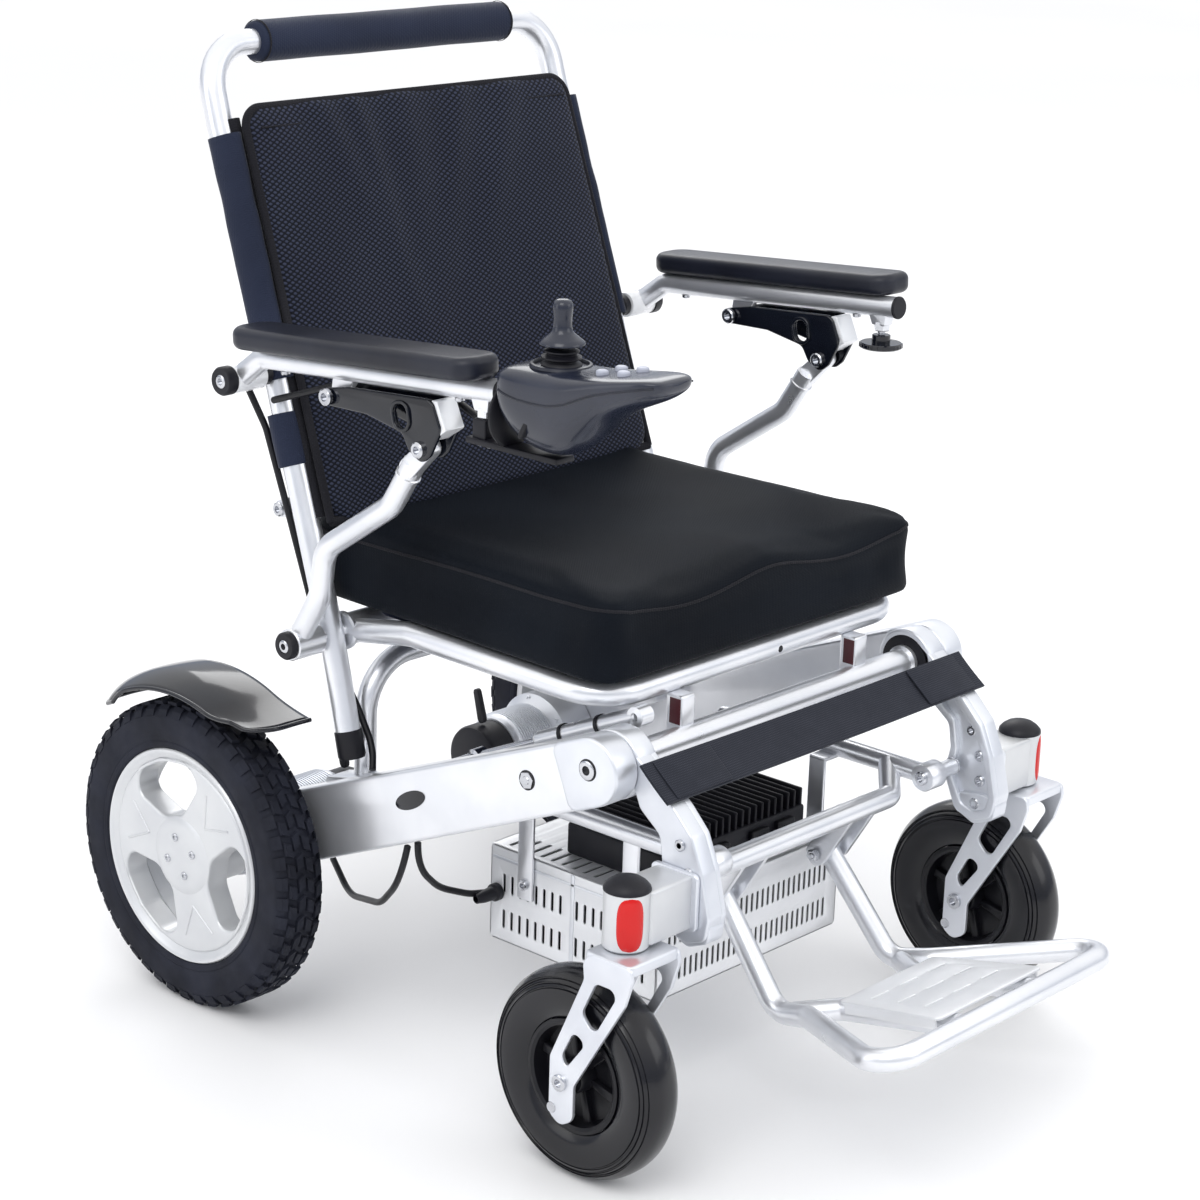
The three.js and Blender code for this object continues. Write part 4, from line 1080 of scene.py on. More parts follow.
def battery_box():
    """A slotted sheet case, with the battery packs as one dark block inside it."""
    rows = ((BOX_Z[0] + 14, BOX_Z[0] + 34), (BOX_Z[0] + 52, BOX_Z[0] + 72))
    shape = Shape()
    face = rectangle((-BOX_X, BOX_X), BOX_Z, 4)
    for y in ((BOX_Y[0], BOX_Y[0] + 2), (BOX_Y[1] - 2, BOX_Y[1])):
        holes = [slot for low, high in rows for slot in slots(-120, 120, 8.2, low, high)]
        shape.wall(y, face, holes, edge=0.6)
    for _, side in SIDES:
        flank = rectangle(BOX_Y, BOX_Z, 4)
        holes = [slot for low, high in rows for slot in slots(BOX_Y[0] + 18, BOX_Y[1] - 18, 10.8, low, high)
                 if not -107 < slot[0].x < -93]
        shape.slab(side, (BOX_X - 2, BOX_X), flank, holes, edge=0.6)
    top = rectangle((-BOX_X, BOX_X), BOX_Y, 4)
    top_slots = [strap_outline((x, y), 2, (x + 26, y), 2.001, 5)
                 for x in (-128, 102) for y in range(-190, 0, 14)]
    shape.deck((BOX_Z[1] - 2, BOX_Z[1]), top, top_slots, edge=0.6)
    shape.deck((BOX_Z[0], BOX_Z[0] + 2), top, edge=0.6)
    shape.piece("battery_case", "lower_frame", SHEET_SILVER, "battery_box")
    inside = Shape()
    inside.block((4 - BOX_X, BOX_X - 4), (BOX_Y[0] + 4, BOX_Y[1] - 4), (BOX_Z[0] + 4, BOX_Z[1] - 4), 4)
    inside.piece("battery_packs", "lower_frame", HUB_BLACK)
    seam = Shape()
    for _, side in SIDES:
        limits = span(side, BOX_X - 0.5, BOX_X + 0.7)
        seam.block(limits, (-102.5, -97.5), (BOX_Z[0] + 2, BOX_Z[1] - 2), 0.5)
        seam.block(limits, (BOX_Y[0] + 3, BOX_Y[1] - 3), (BOX_Z[1] - 14, BOX_Z[1] - 11), 0.5)
    seam.piece("battery_seams", "lower_frame", CAST_SILVER)


def controller():
    shape = Shape()
    shape.block((-105, 105), (-190, -60), (BOX_Z[1] + 0.4, 228), 3)
    for k in range(21):
        x = -101 + k * 10.1
        shape.block((x - 1.6, x + 1.6), (-188, -62), (226, 245.6), 1.2)
    shape.piece("controller_case", "lower_frame", MATT_BLACK, "controller")
    plugs = Shape()
    for x in (-70, -30, 30, 70):
        plugs.block((x - 13, x + 13), (-196, -188), (200, 222), 2)
    plugs.piece("controller_plugs", "lower_frame", HUB_BLACK)


def plate_under(y):
    return FOOT_PLATE["under"] + (FOOT_PLATE["rear"] - y) * math.tan(FOOT_PLATE_TILT)


def footrest():
    shape = Shape()
    loop = across_chair([(82, -239, 200), (88, -318, 106), (94, -360, 117), (190, -514, 150)])
    shape.tube(loop, FRAME_TUBE, 26)
    for _, side in SIDES:
        bearer = []
        for x, y in ((84, -335), (56, -372), (56, -508)):
            bearer.append((side * x, y, plate_under(y) - 0.4 - FRAME_TUBE / math.cos(FOOT_PLATE_TILT)))
        shape.tube(bearer, FRAME_TUBE, 15)
    shape.piece("footrest_tubes", "footrest", SILVER, "footrest_frame")
    foot_plate()


def foot_plate():
    rear, front = FOOT_PLATE["rear"], FOOT_PLATE["front"]
    rear_half, front_half = FOOT_PLATE["rear_half"], FOOT_PLATE["front_half"]
    turn = Matrix.Translation((0, rear, FOOT_PLATE["under"])) @ Matrix.Rotation(
        -FOOT_PLATE_TILT, 4, "X") @ Matrix.Translation((0, -rear, 0))
    outline = rounded_outline([(-rear_half, rear), (rear_half, rear), (front_half, front),
                               (-front_half, front)], 6)
    holes = []
    for y in (-405, -436, -467):
        for x in (-44, 0, 44):
            holes.append(strap_outline((x - 12, y), 1.3, (x + 12, y), 1.301, 6))
    shape = Shape()
    shape.deck((0, 3), outline, holes, edge=0.9, turn=turn)
    narrow = (front_half - rear_half) / (rear - front)
    for _, side in SIDES:
        strip = [(side * (rear_half - 0.6 + (rear - y) * narrow - inward), y)
                 for y, inward in ((rear - 6, 0), (front + 6, 0), (front + 6, 2.5), (rear - 6, 2.5))]
        shape.deck((-9, 1.5), strip, edge=0.8, turn=turn)
    shape.piece("foot_tray", "footrest", SHEET_SILVER, "foot_plate")


subframe()
battery_box()
controller()
footrest()


# ---- Backrest --------------------------------------------------------------
BACK_TUBE = [(243, 100, 290), (243, 130, 406), (239.5, 214, 651), (236, 298, 880), (235, 320, 950)]


def back_frame():
    shape = Shape()
    shape.tube(across_chair(BACK_TUBE), BACK_TUBE_RADIUS, 48)
    for _, side in SIDES:
        lug = strap_outline(on_back(0, 128, -8)[1:], 10, on_back(0, 128, -33)[1:], 8.5, 10)
        shape.slab(side, (238, 243), lug, edge=1)
    shape.piece("back_tube", "backrest", SILVER, "back_frame")
    plugs = Shape()
    for _, side in SIDES:
        direction = (Vector(BACK_TUBE[0]) - Vector(BACK_TUBE[1])).normalized()
        foot = Vector((side * 243, *BACK_TUBE[0][1:]))
        direction.x = 0
        profile = [(12.6, 0), (13.6, 1), (13.8, 25), (12.5, 28), (0, 28)]
        plugs.lathe(foot - direction * 24, direction, profile, 36)
    plugs.piece("back_tube_feet", "backrest", MATT_BLACK)
    bolts = Shape()
    for _, side in SIDES:
        bolts.bolt(on_back(side * 243, 128, -33), (side, 0, 0), 7, 4)
        bolts.nut(on_back(side * 238, 128, -33), (-side, 0, 0), 6.5, 4)
    bolts.piece("back_bolts", "backrest", CHROME)


def sleeves():
    """The cloth pockets that hold the back panel on the tubes."""
    for name, side in SIDES:
        bottom, top, sides, rows = 250.0, 488.0, 40, 50
        shape = Shape()
        grid = []
        for i in range(rows + 1):
            up = bottom + (top - bottom) * i / rows
            x = side * (243 - 7 * up / 500)
            ripple = 0.35 * math.sin(up * 0.055) + 0.25 * math.sin(up * 0.131 + side)
            line = []
            for k in range(sides):
                angle = 2 * math.pi * k / sides
                radius = 14.4 + ripple * 0.5 * (1 + math.sin(2 * angle + up * 0.03))
                forward = 1.55 if math.sin(angle) > 0 else 1.0
                line.append(shape.bm.verts.new(on_back(
                    x + radius * math.cos(angle), up, radius * math.sin(angle) * forward * 0.98)))
            grid.append(line)
        shape.skin(grid)
        sleeve = shape.piece(f"back_sleeve_{name}", "backrest", SIDE_CLOTH, smooth=60)
        thick = sleeve.modifiers.new("thickness", "SOLIDIFY")
        thick.thickness = 1.2 * MM


def clamped(value):
    return max(0.0, min(1.0, value))


SIMULATION_FRAMES = 20


def soft_body(piece, voxel, pressure, cap, pinned):
    """Inflates a closed mesh as cloth, holds every point within cap of its start, and then smooths it."""
    remesh = piece.modifiers.new("remesh", "REMESH")
    remesh.mode = "VOXEL"
    remesh.voxel_size = voxel
    apply_modifiers(piece)
    before = [vertex.co.copy() for vertex in piece.data.vertices]
    group = piece.vertex_groups.new(name="held")
    held = [i for i, spot in enumerate(before) if pinned(spot)]
    group.add(held, 1.0, "REPLACE")
    cloth = piece.modifiers.new("cloth", "CLOTH")
    settings = cloth.settings
    settings.quality = 5
    settings.mass = 0.3
    settings.tension_stiffness = 12
    settings.compression_stiffness = 12
    settings.shear_stiffness = 6
    settings.bending_stiffness = 0.6
    settings.use_pressure = True
    settings.uniform_pressure_force = pressure
    settings.vertex_group_mass = "held"
    settings.effector_weights.gravity = 0
    cloth.point_cache.frame_end = SIMULATION_FRAMES
    for number in range(1, SIMULATION_FRAMES + 1):
        bpy.context.scene.frame_set(number)
    apply_modifiers(piece)
    bpy.context.scene.frame_set(1)
    for vertex, start in zip(piece.data.vertices, before):
        moved = vertex.co - start
        if moved.length > cap:
            vertex.co = start + moved.normalized() * cap
    piece.vertex_groups.clear()
    smooth_surface(piece, 3)


def smooth_surface(piece, times):
    bm = bmesh.new()
    bm.from_mesh(piece.data)
    for _ in range(times):
        bmesh.ops.smooth_vert(bm, verts=bm.verts, factor=0.5,
                              use_axis_x=True, use_axis_y=True, use_axis_z=True)
    bm.to_mesh(piece.data)
    bm.free()
    piece.data.shade_smooth()


def apply_modifiers(piece):
    graph = bpy.context.evaluated_depsgraph_get()
    mesh = bpy.data.meshes.new_from_object(piece.evaluated_get(graph))
    piece.modifiers.clear()
    old = piece.data
    piece.data = mesh
    bpy.data.meshes.remove(old)


def back_panel():
    """The padded panel: crowned, with soft folds that hang from its top edge."""
    outline = rounded_outline([(-232, 101), (232, 101), (225, 512), (-225, 512)], 26)
    mesh = slab_mesh(outline, [], 15, 6, 4)
    shape = Shape()
    upward = Vector((0, math.sin(BACK_LEAN), math.cos(BACK_LEAN)))
    out = Vector((0, -math.cos(BACK_LEAN), math.sin(BACK_LEAN)))
    shape.add_mesh(mesh, Matrix.Translation(on_back(0, 0, 21)) @ axes(Vector((1, 0, 0)), upward, out))
    panel = shape.piece("back_panel", "backrest", MESH_CLOTH, "upholstery", smooth=60)
    hinge = place(0, *BACK_PIVOT)

    def at_edge(spot):
        up = (spot - hinge).dot(upward)
        return abs(spot.x) > 0.222 or up < 0.124 or up > 0.505

    soft_body(panel, 0.0055, 2.2, 0.007, at_edge)
    for vertex in panel.data.vertices:
        up = (vertex.co - hinge).dot(upward)
        x = vertex.co.x
        if (vertex.co - hinge).dot(out) < 0.021:
            continue
        inside = max(0.0, 1 - (x / 0.225) ** 6) * clamped((up - 0.12) / 0.05)
        hang = clamped((up - 0.22) / 0.25)
        fold = 0.0
        for middle, lean, width in ((-0.13, 0.30, 0.021), (-0.085, 0.10, 0.014), (-0.02, -0.10, 0.024),
                                    (0.06, -0.42, 0.017), (0.13, -0.5, 0.022)):
            ridge = middle + lean * (0.5 - up)
            fold += math.exp(-((x - ridge) / width) ** 2)
        bulge = -0.004 * math.cos(math.pi * x / 0.23) * math.sin(math.pi * min(1.0, up / 0.5))
        vertex.co += out * inside * (0.0038 * fold * hang + bulge)
    panel.data.shade_smooth()
    panel_binding()


def panel_binding():
    """A woven tape sewn round the panel's edge, and its stitches."""
    corners = [on_back(x, up, 22.5) for x, up in ((-231, 105), (-224, 509), (224, 509), (231, 105))]
    shape = Shape()
    shape.tube(corners, 4.2, 22, 14)
    shape.tube([corners[0], corners[-1]], 4.2, 1, 14)
    for _, side in SIDES:
        shape.tube([on_back(side * 234, 112, 11), on_back(side * 228.5, 502, 11)], 7, sides=20)
    shape.piece("back_binding", "backrest", BINDING, smooth=60)
    hem = Shape()
    route = [on_back(x, 488, out) for x, out in ((-212, 30.2), (-70, 28.4), (70, 28.4), (212, 30.2))]
    hem.tube(route, 0.9, 60, 8)
    hem.piece("back_hem", "backrest", BINDING, smooth=60)


HANDLE_PAD = {"length": 348, "y": 320, "z": 950}


def handle_pad():
    """The soft cover of the push handle, with its seam underneath."""
    length, y, z = HANDLE_PAD["length"], HANDLE_PAD["y"], HANDLE_PAD["z"]
    shape = Shape()
    rings, sides = 90, 44
    grid = []
    for i in range(rings + 1):
        share = i / rings
        x = length * share - length / 2
        end = min(share, 1 - share) * length
        grow = 21 - 4.5 * math.exp(-end / 2.5)
        line = []
        for k in range(sides):
            angle = 2 * math.pi * k / sides
            wave = 0.3 * math.sin(x * 0.03 + 3 * angle) + 0.15 * math.sin(x * 0.07 + angle)
            seam = 1.6 * math.exp(-((math.degrees(angle) - 248) / 9) ** 2)
            radius = grow - 0.7 + wave * 0.7 + seam * 0.6
            spot = (x, y - radius * math.cos(angle), z + radius * math.sin(angle))
            line.append(shape.bm.verts.new(spot))
        grid.append(line)
    shape.skin(grid)
    for line in (grid[0], grid[-1]):
        shape.bm.faces.new(line)
    cover = shape.piece("handle_cover", "backrest", SIDE_CLOTH, "handle_pad", smooth=50)
    hems = Shape()
    for x in (-168, 168):
        hems.lathe((x, y, z), (1, 0, 0), [(20.6, -1.2), (21.1, 0), (20.6, 1.2)], sides)
    hems.piece("handle_hems", "backrest", BINDING)


CUSHION_Z = (432.5, 512.5)


def cushion():
    """The contoured cushion: two leg hollows, a front that rolls down, and sides that pull in."""
    outline = rounded_outline([(-235, -221), (235, -221), (222, 195), (-222, 195)], 28)
    shape = Shape()
    shape.deck(CUSHION_Z, outline, edge=8, rounding=4)
    seat = shape.piece("seat_cushion", "rear_frame", SEAT_CLOTH, "cushion", smooth=60)
    base_top = 0.436

    def at_base(spot):
        return spot.z < base_top

    soft_body(seat, 0.0058, 3.2, 0.005, at_base)
    for vertex in seat.data.vertices:
        x, y, z = vertex.co.x, vertex.co.y - SHIFT * MM, vertex.co.z
        height = clamped((z - 0.452) / 0.050)
        front = clamped((-0.075 - y) / 0.145) ** 1.6
        hollow = math.exp(-((abs(x) - 0.112) / 0.075) ** 2)
        pommel = math.exp(-(x / 0.04) ** 2)
        well = math.exp(-((y - 0.03) / 0.11) ** 2) * max(0.0, 1 - (x / 0.19) ** 4)
        vertex.co.z += height * (-0.013 * front * hollow + 0.005 * front * pommel - 0.012 * well)
        edge_pull = 0.0025 * math.sin(math.pi * clamped((z - 0.437) / 0.06))
        vertex.co.x -= math.copysign(edge_pull, x) * (abs(x) > 0.2)
        if y < -0.19:
            vertex.co.y += edge_pull
    seat.data.shade_smooth()
    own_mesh(seat)
    piping(seat)


def piping(seat):
    """A sewn cord that follows the top edge of the cushion all the way round."""
    surface = BVHTree.FromPolygons([vertex.co for vertex in seat.data.vertices],
                                   [polygon.vertices for polygon in seat.data.polygons])
    outline = rounded_outline([(-240, -226), (240, -226), (232, 200), (-232, 200)], 30, 6)
    dense = []
    for first, second in zip(outline, outline[1:] + outline[:1]):
        steps = max(1, int((second - first).length / 9))
        dense += [first.lerp(second, k / steps) for k in range(steps)]
    levels = []
    for spot in dense:
        inside = place(spot.x * 0.935, spot.y * 0.935, 600)
        top = surface.ray_cast(inside, Vector((0, 0, -1)))[0]
        levels.append(top.z / MM - 7.5)
    count = len(dense)
    for _ in range(8):
        levels = [(levels[i - 1] + levels[i] * 2 + levels[(i + 1) % count]) / 4 for i in range(count)]
    seam = []
    for spot, level in zip(dense, levels):
        outside = place(spot.x * 1.2, spot.y * 1.2, level)
        hit = surface.ray_cast(outside, (place(0, 0, level) - outside).normalized())[0]
        seam.append((hit.x / MM, hit.y / MM - SHIFT, level))
    shape = Shape()
    shape.tube(seam + [seam[0]], 1.5, 0.01, 10)
    cord = shape.piece("cushion_piping", "rear_frame", BINDING, smooth=60)
    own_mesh(cord)


back_frame()
sleeves()
back_panel()
handle_pad()
cushion()


# ---- Arms ------------------------------------------------------------------
def arm_pivots():
    for name, side in SIDES:
        body = f"arm_hanger_{name}"
        shape = Shape()
        shape.lathe((side * 252.6, *ARM_PIVOT), (side, 0, 0),
                    [(0, 0), (10, 0), (11, 1), (11, 8), (6, 8.9), (6, 47), (0, 47)], 32)
        shape.lathe((side * 298.6, *ARM_PIVOT), (side, 0, 0),
                    [(0, 0), (13, 0), (14, 1), (14, 10), (12.6, 12.2), (7, 12.4), (7, 10), (0, 10)], 40)
        shape.piece(f"arm_hinge_{name}", body, MATT_BLACK, f"arm_pivot_{name}")
        bolt = Shape()
        bolt.bolt((side * 308.4, *ARM_PIVOT), (side, 0, 0), 6.6, 3)
        bolt.piece(f"arm_hinge_bolt_{name}", body, CHROME)


def arm_tubes():
    """Each arm's bent tube, with its lever lug, its controller foot, its sleeve, cap and screws."""
    for name, side in SIDES:
        body = f"arm_{name}"
        front = along_arm(311, 0)
        shape = Shape()
        route = [(side * ARM_X, *ARM_PIVOT), (side * ARM_X, *ARM_BEND), (side * ARM_X, *front)]
        shape.tube(route, FRAME_TUBE, 22)
        lug = strap_outline(along_arm(112, -4), 14, LEVER_PIVOT, 8, 10)
        shape.slab(side, (283, 291), lug, edge=1)
        shape.tube([(side * 271, *LEVER_PIVOT), (side * 303, *LEVER_PIVOT)], 4)
        y, z = along_arm(KNOB_FORWARD, KNOB_ABOVE)
        foot = [along_arm(277, -4), along_arm(301, -4), (y - 8, z), (y + 8, z)]
        shape.slab(side, (280, 294), rounded_outline(foot, 2), edge=1)
        shape.lathe((side * ARM_X, y, z + 3), (0, 0, -1), [(0, 0), (8.5, 0), (8.5, 8), (7.5, 9), (0, 9)], 6)
        shape.piece(f"arm_bar_{name}", body, SILVER, f"arm_tube_{name}")
        sleeve = Shape()
        sleeve.lathe((side * 262, *ARM_PIVOT), (side, 0, 0), [(6.7, 0), (13, 0), (13.6, 1), (13.6, 35.4),
                                                              (13, 36.2), (6.7, 36.2)], 44)
        sleeve.piece(f"arm_sleeve_{name}", body, CLEAR_SLEEVE)
        end = Shape()
        tip = Vector((side * ARM_X, *along_arm(309.6, 0)))
        forwards = Vector((0, -math.cos(ARM_RISE), math.sin(ARM_RISE)))
        end.lathe(tip, forwards, [(11, 0), (11.6, 0.4), (11.6, 2.0), (10.4, 3.3), (0, 3.5)], 40)
        end.piece(f"arm_end_cap_{name}", body, MATT_BLACK)
        screws = Shape()
        down = Vector((0, -math.sin(ARM_RISE), -math.cos(ARM_RISE)))
        for forward in (28, 258):
            screws.bolt(Vector((side * ARM_X, *along_arm(forward, -10.6))), down, 4.5, 3.5)
        for hand in (271, 303):
            outwards = side if hand == 303 else -side
            screws.bolt((side * hand, *LEVER_PIVOT), (outwards, 0, 0), 8, 4.5)
        screws.piece(f"arm_screws_{name}", body, CHROME)


def arm_pads():
    for name, side in SIDES:
        mesh = slab_mesh(rectangle(span(side, 272, 326), (-12, 304), 20), [], 21.4, 7.5, 6)
        for vertex in mesh.vertices:
            middle = (vertex.co.x - side * 299) / 27
            if vertex.co.z > 0:
                vertex.co.z += 0.8 * (1 - middle ** 2) - 0.6
        shape = Shape()
        forwards = Vector((0, -math.cos(ARM_RISE), math.sin(ARM_RISE)))
        upward = Vector((0, math.sin(ARM_RISE), math.cos(ARM_RISE)))
        turn = axes(Vector((1, 0, 0)), forwards, upward)
        shape.add_mesh(mesh, Matrix.Translation((0, *along_arm(0, 22.2))) @ turn)
        pad = shape.piece(f"arm_rest_{name}", f"arm_{name}", PAD_VINYL, f"arm_pad_{name}", smooth=50)


LEVER_OUTLINE = [
    (LEVER_PIVOT[0] + 11, LEVER_PIVOT[1] + 6), along_arm(128, -13), along_arm(236, -13),
    along_arm(246, -40), (LINK_PIN[0] - 13, LINK_PIN[1] - 4), (LINK_PIN[0] - 2, LINK_PIN[1] - 13),
    (LINK_PIN[0] + 14, LINK_PIN[1] - 4), along_arm(196, -48), along_arm(150, -36), (LEVER_PIVOT[0] + 8, LEVER_PIVOT[1] - 9),
]


def arm_levers():
    for name, side in SIDES:
        body = f"lever_{name}"
        outline = rounded_outline(LEVER_OUTLINE, 11, 8)
        opening = rounded_outline([along_arm(186, -22), along_arm(204, -20), along_arm(206, -42),
                                   along_arm(190, -44)], 8, 10)
        shape = Shape()
        shape.slab(side, (273, 278), outline, [opening], edge=1.8, rounding=3)
        shape.slab(side, (296, 301), outline, [opening], edge=1.8, rounding=3)
        ring = offset_ring(opening, 3.5)
        for x in ((270.8, 274), (300, 303)):
            shape.slab(side, x, ring, [opening], edge=1.2, rounding=3)
        shape.piece(f"lever_cheeks_{name}", body, GLOSS_BLACK, f"arm_lever_{name}")
        web = Shape()
        front = [along_arm(232, -14), along_arm(241, -14), along_arm(251, -40),
                 (LINK_PIN[0] - 14, LINK_PIN[1] + 10), (LINK_PIN[0] - 10, LINK_PIN[1] + 9),
                 along_arm(245, -38)]
        web.slab(side, (275, 299), rounded_outline(front, 2), edge=1)
        web.piece(f"lever_web_{name}", body, SHEET_SILVER)
        bolts = Shape()
        for hand in (273, 301):
            outwards = side if hand == 301 else -side
            bolts.bolt((side * hand, *LINK_PIN), (outwards, 0, 0), 7.5, 4.5)
        bolts.piece(f"lever_bolts_{name}", body, CHROME)


def offset_ring(outline, distance):
    middle = sum(outline, Vector((0, 0))) / len(outline)
    return [point + (point - middle).normalized() * distance for point in outline]


def arm_links():
    for name, side in SIDES:
        x = side * LINK_X
        shape = Shape()
        shape.tube([(x, BACK_PIVOT[0] - 3, BACK_PIVOT[1] + 10), (x, 100, 460), (x, 93, 508), (x, 4, 568),
                    (x, -25, 614)], FRAME_TUBE, 34, step=6)
        shape.lathe((side * 262.5, *BACK_PIVOT), (side, 0, 0), [(6.7, 0), (14.5, 0), (15.5, 1), (15.5, 34),
                                                                (14.5, 35), (6.7, 35)], 44, closed=True)
        tongue = strap_outline((-22, 609), 10, LINK_PIN, 9, 10)
        shape.slab(side, (281, 293), tongue, edge=1.5)
        along = (Vector((0, -25, 614)) - Vector((0, 4, 568))).normalized()
        shape.lathe(Vector((x, -17, 601.3)), along, [(11, -2), (12.2, -1.2), (12.2, 1.2), (11, 2)], 36)
        shape.piece(f"link_tube_{name}", f"link_{name}", SILVER, f"arm_link_{name}")
        cap = Shape()
        cap.lathe((side * 296.2, *BACK_PIVOT), (side, 0, 0), [(0, 0), (12.5, 0), (13.5, 1), (13.5, 6.5),
                                                              (12, 8.5), (7, 8.7), (7, 6.5), (0, 6.5)], 40)
        cap.piece(f"link_cap_{name}", "rear_frame", MATT_BLACK)
        bolt = Shape()
        bolt.bolt((side * 302.4, *BACK_PIVOT), (side, 0, 0), 6.4, 3)
        bolt.piece(f"link_bolt_{name}", "rear_frame", CHROME)


def arm_knob():
    y, z = along_arm(KNOB_FORWARD, KNOB_ABOVE)
    top = (ARM_X, y, z - 6.4)
    shape = Shape()
    shape.lathe(top, (0, 0, -1), [(0, 3.6), (8.5, 3.6), (9.5, 4.4), (9.5, 11.5), (16, 12), (20.6, 11.5),
                                  (22, 12.6), (22, 16.2), (20.4, 17.5), (0, 17.5)], 48)
    for k in range(24):
        angle = math.radians(15 * k)
        spot = Vector(top) + Vector((21.6 * math.cos(angle), 21.6 * math.sin(angle), -12.4))
        shape.tube([spot, spot - Vector((0, 0, 4))], 0.9, sides=8)
    shape.piece("knob_wheel", "knob", GLOSS_BLACK, "arm_knob")
    stud = Shape()
    stud.lathe(top, (0, 0, -1), [(0, 0), (4, 0), (4, 1)] + [
        (4 - 0.6 * (k % 2), 1 + 0.5 * k) for k in range(1, 6)] + [(4, 4), (0, 4)], 20)
    stud.piece("knob_stud", "knob", CHROME)


arm_pivots()
arm_tubes()
arm_pads()
arm_levers()
arm_links()
arm_knob()


# ---- Joystick --------------------------------------------------------------
KEYS = {"power": (-12, -262), "horn": (12, -262), "slower": (-12, -286), "faster": (12, -286)}


def joystick_bracket():
    y, lug = along_arm(KNOB_FORWARD, KNOB_ABOVE)
    z = lug - 6.4
    x = STICK[0]
    shape = Shape()
    shape.block((x - 12, x + 12), (-212, y + 14), (z - 23, z - 17), 2)
    shape.block((x - 9, x + 9), (y - 8, y + 8), (z - 20, z), 1.5)
    disc = [(0, -2.5), (29, -2.5), (31, -1), (31, 1), (29, 2.5), (0, 2.5)]
    shape.lathe((x, -149, 684), (0, 1, 0), disc, 48)
    shape.piece("joystick_mount", "arm_right", MATT_BLACK, "joystick_bracket")
    bolts = Shape()
    for forward in (-5, 5):
        bolts.bolt((x, y + forward * 1.1, z - 23), (0, 0, -1), 3.6, 3)
    bolts.piece("joystick_mount_bolts", "arm_right", CHROME)


# Stations along the housing: Y, bottom, top and half width.
HOUSING = [
    (-152.5, 694, 722, 20), (-155, 685, 728, 28), (-161, 676, 732, 34), (-171, 667, 734, 36.5),
    (-186, 660, 735, 37.6), (-204, 658, 735.6, 38), (-222, 659, 736.2, 38), (-240, 669, 737, 37.8),
    (-256, 686, 738.6, 37.2), (-272, 701, 740.6, 36.2), (-290, 711, 743, 34.6), (-306, 718, 745.2, 32.4),
    (-320, 724, 746.8, 29.4), (-330, 730, 746, 24.5), (-335.5, 736, 743.5, 17),
]


def joystick_housing():
    """The housing over its stations, square above and round below, with its collar, seam and socket."""
    shape = Shape()
    sides = 56
    rings = []
    for y, bottom, top, half in HOUSING:
        shoulder = top - (top - bottom) * 0.34
        ring = []
        for c, s in circle(sides):
            power = 2 / 5.0 if s > 0 else 2 / 2.3
            x = half * math.copysign(abs(c) ** (2 / 3.2 if s > 0 else 2 / 2.2), c)
            reach = (top - shoulder) if s > 0 else (shoulder - bottom)
            z = shoulder + reach * math.copysign(abs(s) ** power, s)
            ring.append(shape.bm.verts.new((STICK[0] + x, y, z)))
        rings.append(ring)
    shape.skin(rings)
    shape.bm.faces.new(rings[0])
    shape.bm.faces.new(rings[-1])
    shell = shape.piece("joystick_shell", "arm_right", SLATE, "joystick_housing", smooth=50)
    surface = shell.modifiers.new("surface", "SUBSURF")
    surface.levels = FINE
    surface.render_levels = FINE
    collar = Shape()
    collar.lathe((STICK[0], STICK[1], 735), (0, 0, 1), [(26, -3), (27.5, 0), (26.5, 2.4), (24.4, 2.8),
                                                        (23.4, 1.2), (23.4, -3)], 56)
    collar.piece("joystick_collar", "arm_right", SLATE_DARK)
    band = Shape()
    for sign in (-1, 1):
        route = [(STICK[0] + sign * (half + 0.1), y, top - (top - bottom) * 0.36)
                 for y, bottom, top, half in HOUSING[2:-1]]
        band.tube(route, 0.9, 0.01, 8)
    band.piece("joystick_seam", "arm_right", SLATE_DARK, smooth=60)
    slot = Shape()
    vent = strap_outline((-190, 676), 2.4, (-197, 689), 2.401, 8)
    slot.slab(-1, (ARM_X + 27, ARM_X + 35.2), vent, edge=0.5)
    slot.piece("joystick_socket", "arm_right", MATT_BLACK)


def joystick_stick():
    shape = Shape()
    shape.lathe(STICK, (0, 0, 1), [(0, 0.2), (17, 0.2), (18, 1.4), (17.6, 2.4), (13.6, 4.2), (13.4, 4.9),
                                   (17.6, 7.0), (17.6, 8.4), (12.8, 10.2), (12.8, 10.9), (15.4, 12.6),
                                   (15.2, 13.8), (10, 15), (0, 15)], 48)
    shape.piece("joystick_bellows", "joystick_gimbal", MATT_BLACK, "joystick_boot", smooth=60)
    handle = Shape()
    handle.lathe(STICK, (0, 0, 1), [(0, 18.6), (18.4, 18.6), (20.3, 19.4), (20.3, 20.8), (16, 24.4),
                                    (11, 28.2), (9, 31), (8.2, 35), (8.2, 42), (8.9, 49), (8.7, 53.4), (7.2, 56.4),
                                    (4, 57.8), (0, 58)], 48)
    handle.piece("joystick_handle", "joystick", SLATE, "joystick_stick", smooth=60)


def keys():
    for name, (x, y) in KEYS.items():
        low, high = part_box(f"key_{name}")
        centre = (STICK[0] + x, y, low[2] / MM)
        height = (high[2] - low[2]) / MM
        shape = Shape()
        shape.lathe(centre, (0, 0, 1), [(0, height), (3.6, height - 0.2), (5.0, height - 0.9),
                                        (5.5, height - 2), (5.5, 0), (0, 0)], 32)
        shape.piece(f"button_{name}", f"{name}_key", KEY_GREY, f"key_{name}", smooth=60)


joystick_bracket()
joystick_housing()
joystick_stick()
keys()

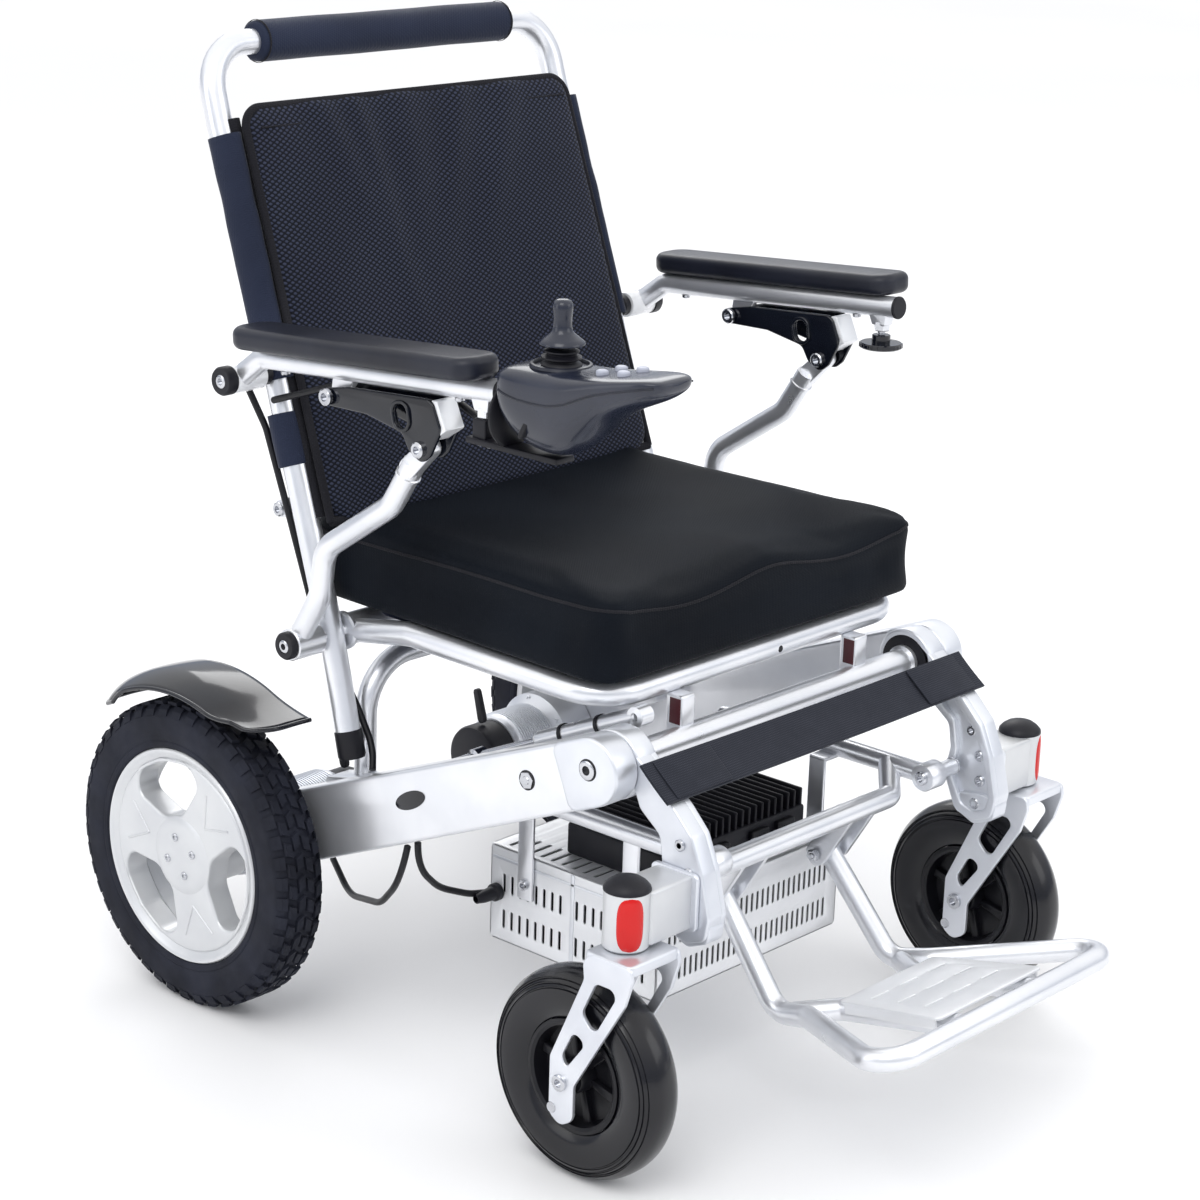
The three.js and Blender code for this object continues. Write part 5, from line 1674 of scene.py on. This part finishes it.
# ---- Cables ----------------------------------------------------------------
MOTOR_CABLE = [(246, 18, 218), (244, 30, 178), (214, 88, 128), (166, 184, 94), (132, 246, 106)]
BATTERY_CABLE = [(-246, 4, 226), (-243, 6, 198), (-208, 12, 166), (-172, 6, 151), (-139.2, 0, 146)]
ARM_CABLE = [(-270, -100, 662), (-258, -40, 676), (-258, 80, 668), (-258, 196, 628)]
BACK_CABLE = [(-256, 239, 638), (-250, 216, 596), (-246, 190, 520), (-243, 158, 430), (-230, 142, 380),
              (-225, 112, 332), (-226, 88, 296), (-238, 76, 279)]


CABLE_RADIUS = 3.4


def cable(name, body, corners, bend, node):
    shape = Shape()
    shape.tube(corners, CABLE_RADIUS, bend, 16, step=4)
    return shape.piece(name, body, CABLE_BLACK, node, smooth=60)


def cables():
    for name, side in SIDES:
        corners = [(side * x, y, z) for x, y, z in MOTOR_CABLE]
        cable(f"motor_lead_{name}", "rear_frame", corners, 110, f"motor_cable_{name}")
    lead = cable("battery_lead", "rear_frame", BATTERY_CABLE, 60, "battery_cable")
    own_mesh(lead)
    cable("joystick_lead_arm", "arm_right", ARM_CABLE, 60, "joystick_cable_arm")
    cable("joystick_lead_back", "backrest", BACK_CABLE, 60, "joystick_cable_back")
    relief = Shape()
    relief.lathe((-138.4, 0, 146), (-1, 0, 0), [(0, 0), (9, 0), (9, 6), (7, 8), (6.4, 20), (4.6, 30),
                                                (CABLE_RADIUS, 31)], 28)
    relief.piece("battery_plug", "lower_frame", MATT_BLACK)
    wrap = Shape()
    start = Vector(on_back(-240.8, 166, 0))
    end = Vector(on_back(-240.0, 218, 0))
    direction = (end - start).normalized()
    length = (end - start).length
    wrap.lathe(start, direction, [(12.6, 0), (15.4, 0.4), (15.8, length / 2), (15.4, length - 0.4),
                                  (12.6, length)], 40)
    wrap.piece("back_wrap", "backrest", SIDE_CLOTH)


cables()


# ---- Floor, light and finish -------------------------------------------------
FLOOR_SIZE, FLOOR_DROP = 60, 0.0005


def floor():
    bpy.ops.mesh.primitive_plane_add(size=FLOOR_SIZE, location=(0, 0, -FLOOR_DROP))
    ground = bpy.context.object
    ground.name = "floor"
    material, tree, shader = new_material("floor_paint", 0.7, specular=0.2)
    tree.links.new(mixed_colour(tree, noise(tree, 0.6), (0.86, 0.86, 0.87), (0.88, 0.88, 0.885)),
                   shader.inputs["Base Color"])
    ground.data.materials.append(material)


# Each light: name, place and target in metres, size of its panel in metres, and power in watts.
LIGHTS = (
    ("key", (-2.6, -1.2, 3.4), (0, 0, 0.4), (2.2, 2.2), 45),
    ("fill", (1.6, -3.4, 2.0), (0, 0, 0.4), (2.4, 1.8), 18),
    ("rim", (2.2, 2.4, 2.6), (0, 0, 0.5), (2.0, 1.6), 26),
    ("side", (-3.4, 1.6, 1.4), (0, 0, 0.4), (1.6, 2.0), 14),
)
WORLD_LOW, WORLD_HIGH, WORLD_STRENGTH = (0.29, 0.325, 0.40), (1.0, 1.0, 1.0), 1.26


def area_light(name, location, target, size, power):
    data = bpy.data.lights.new(name, "AREA")
    data.shape = "RECTANGLE"
    data.size, data.size_y = size
    data.energy = power
    lamp = bpy.data.objects.new(name, data)
    lamp.location = location
    lamp.rotation_euler = (Vector(target) - Vector(location)).to_track_quat("-Z", "Y").to_euler()
    bpy.context.collection.objects.link(lamp)


def lights():
    """A pale world that darkens towards the ground, and four soft panels."""
    world = bpy.data.worlds.new("studio")
    bpy.context.scene.world = world
    world.use_nodes = True
    tree = world.node_tree
    background = tree.nodes["Background"]
    coordinates = tree.nodes.new("ShaderNodeTexCoord")
    split = tree.nodes.new("ShaderNodeSeparateXYZ")
    tree.links.new(coordinates.outputs["Generated"], split.inputs["Vector"])
    sky = mixed_colour(tree, split.outputs["Z"], WORLD_LOW, WORLD_HIGH, 0.0, 0.6)
    tree.links.new(sky, background.inputs["Color"])
    background.inputs["Strength"].default_value = WORLD_STRENGTH
    for light in LIGHTS:
        area_light(*light)
    bpy.context.scene.view_settings.view_transform = "Standard"


floor()
lights()
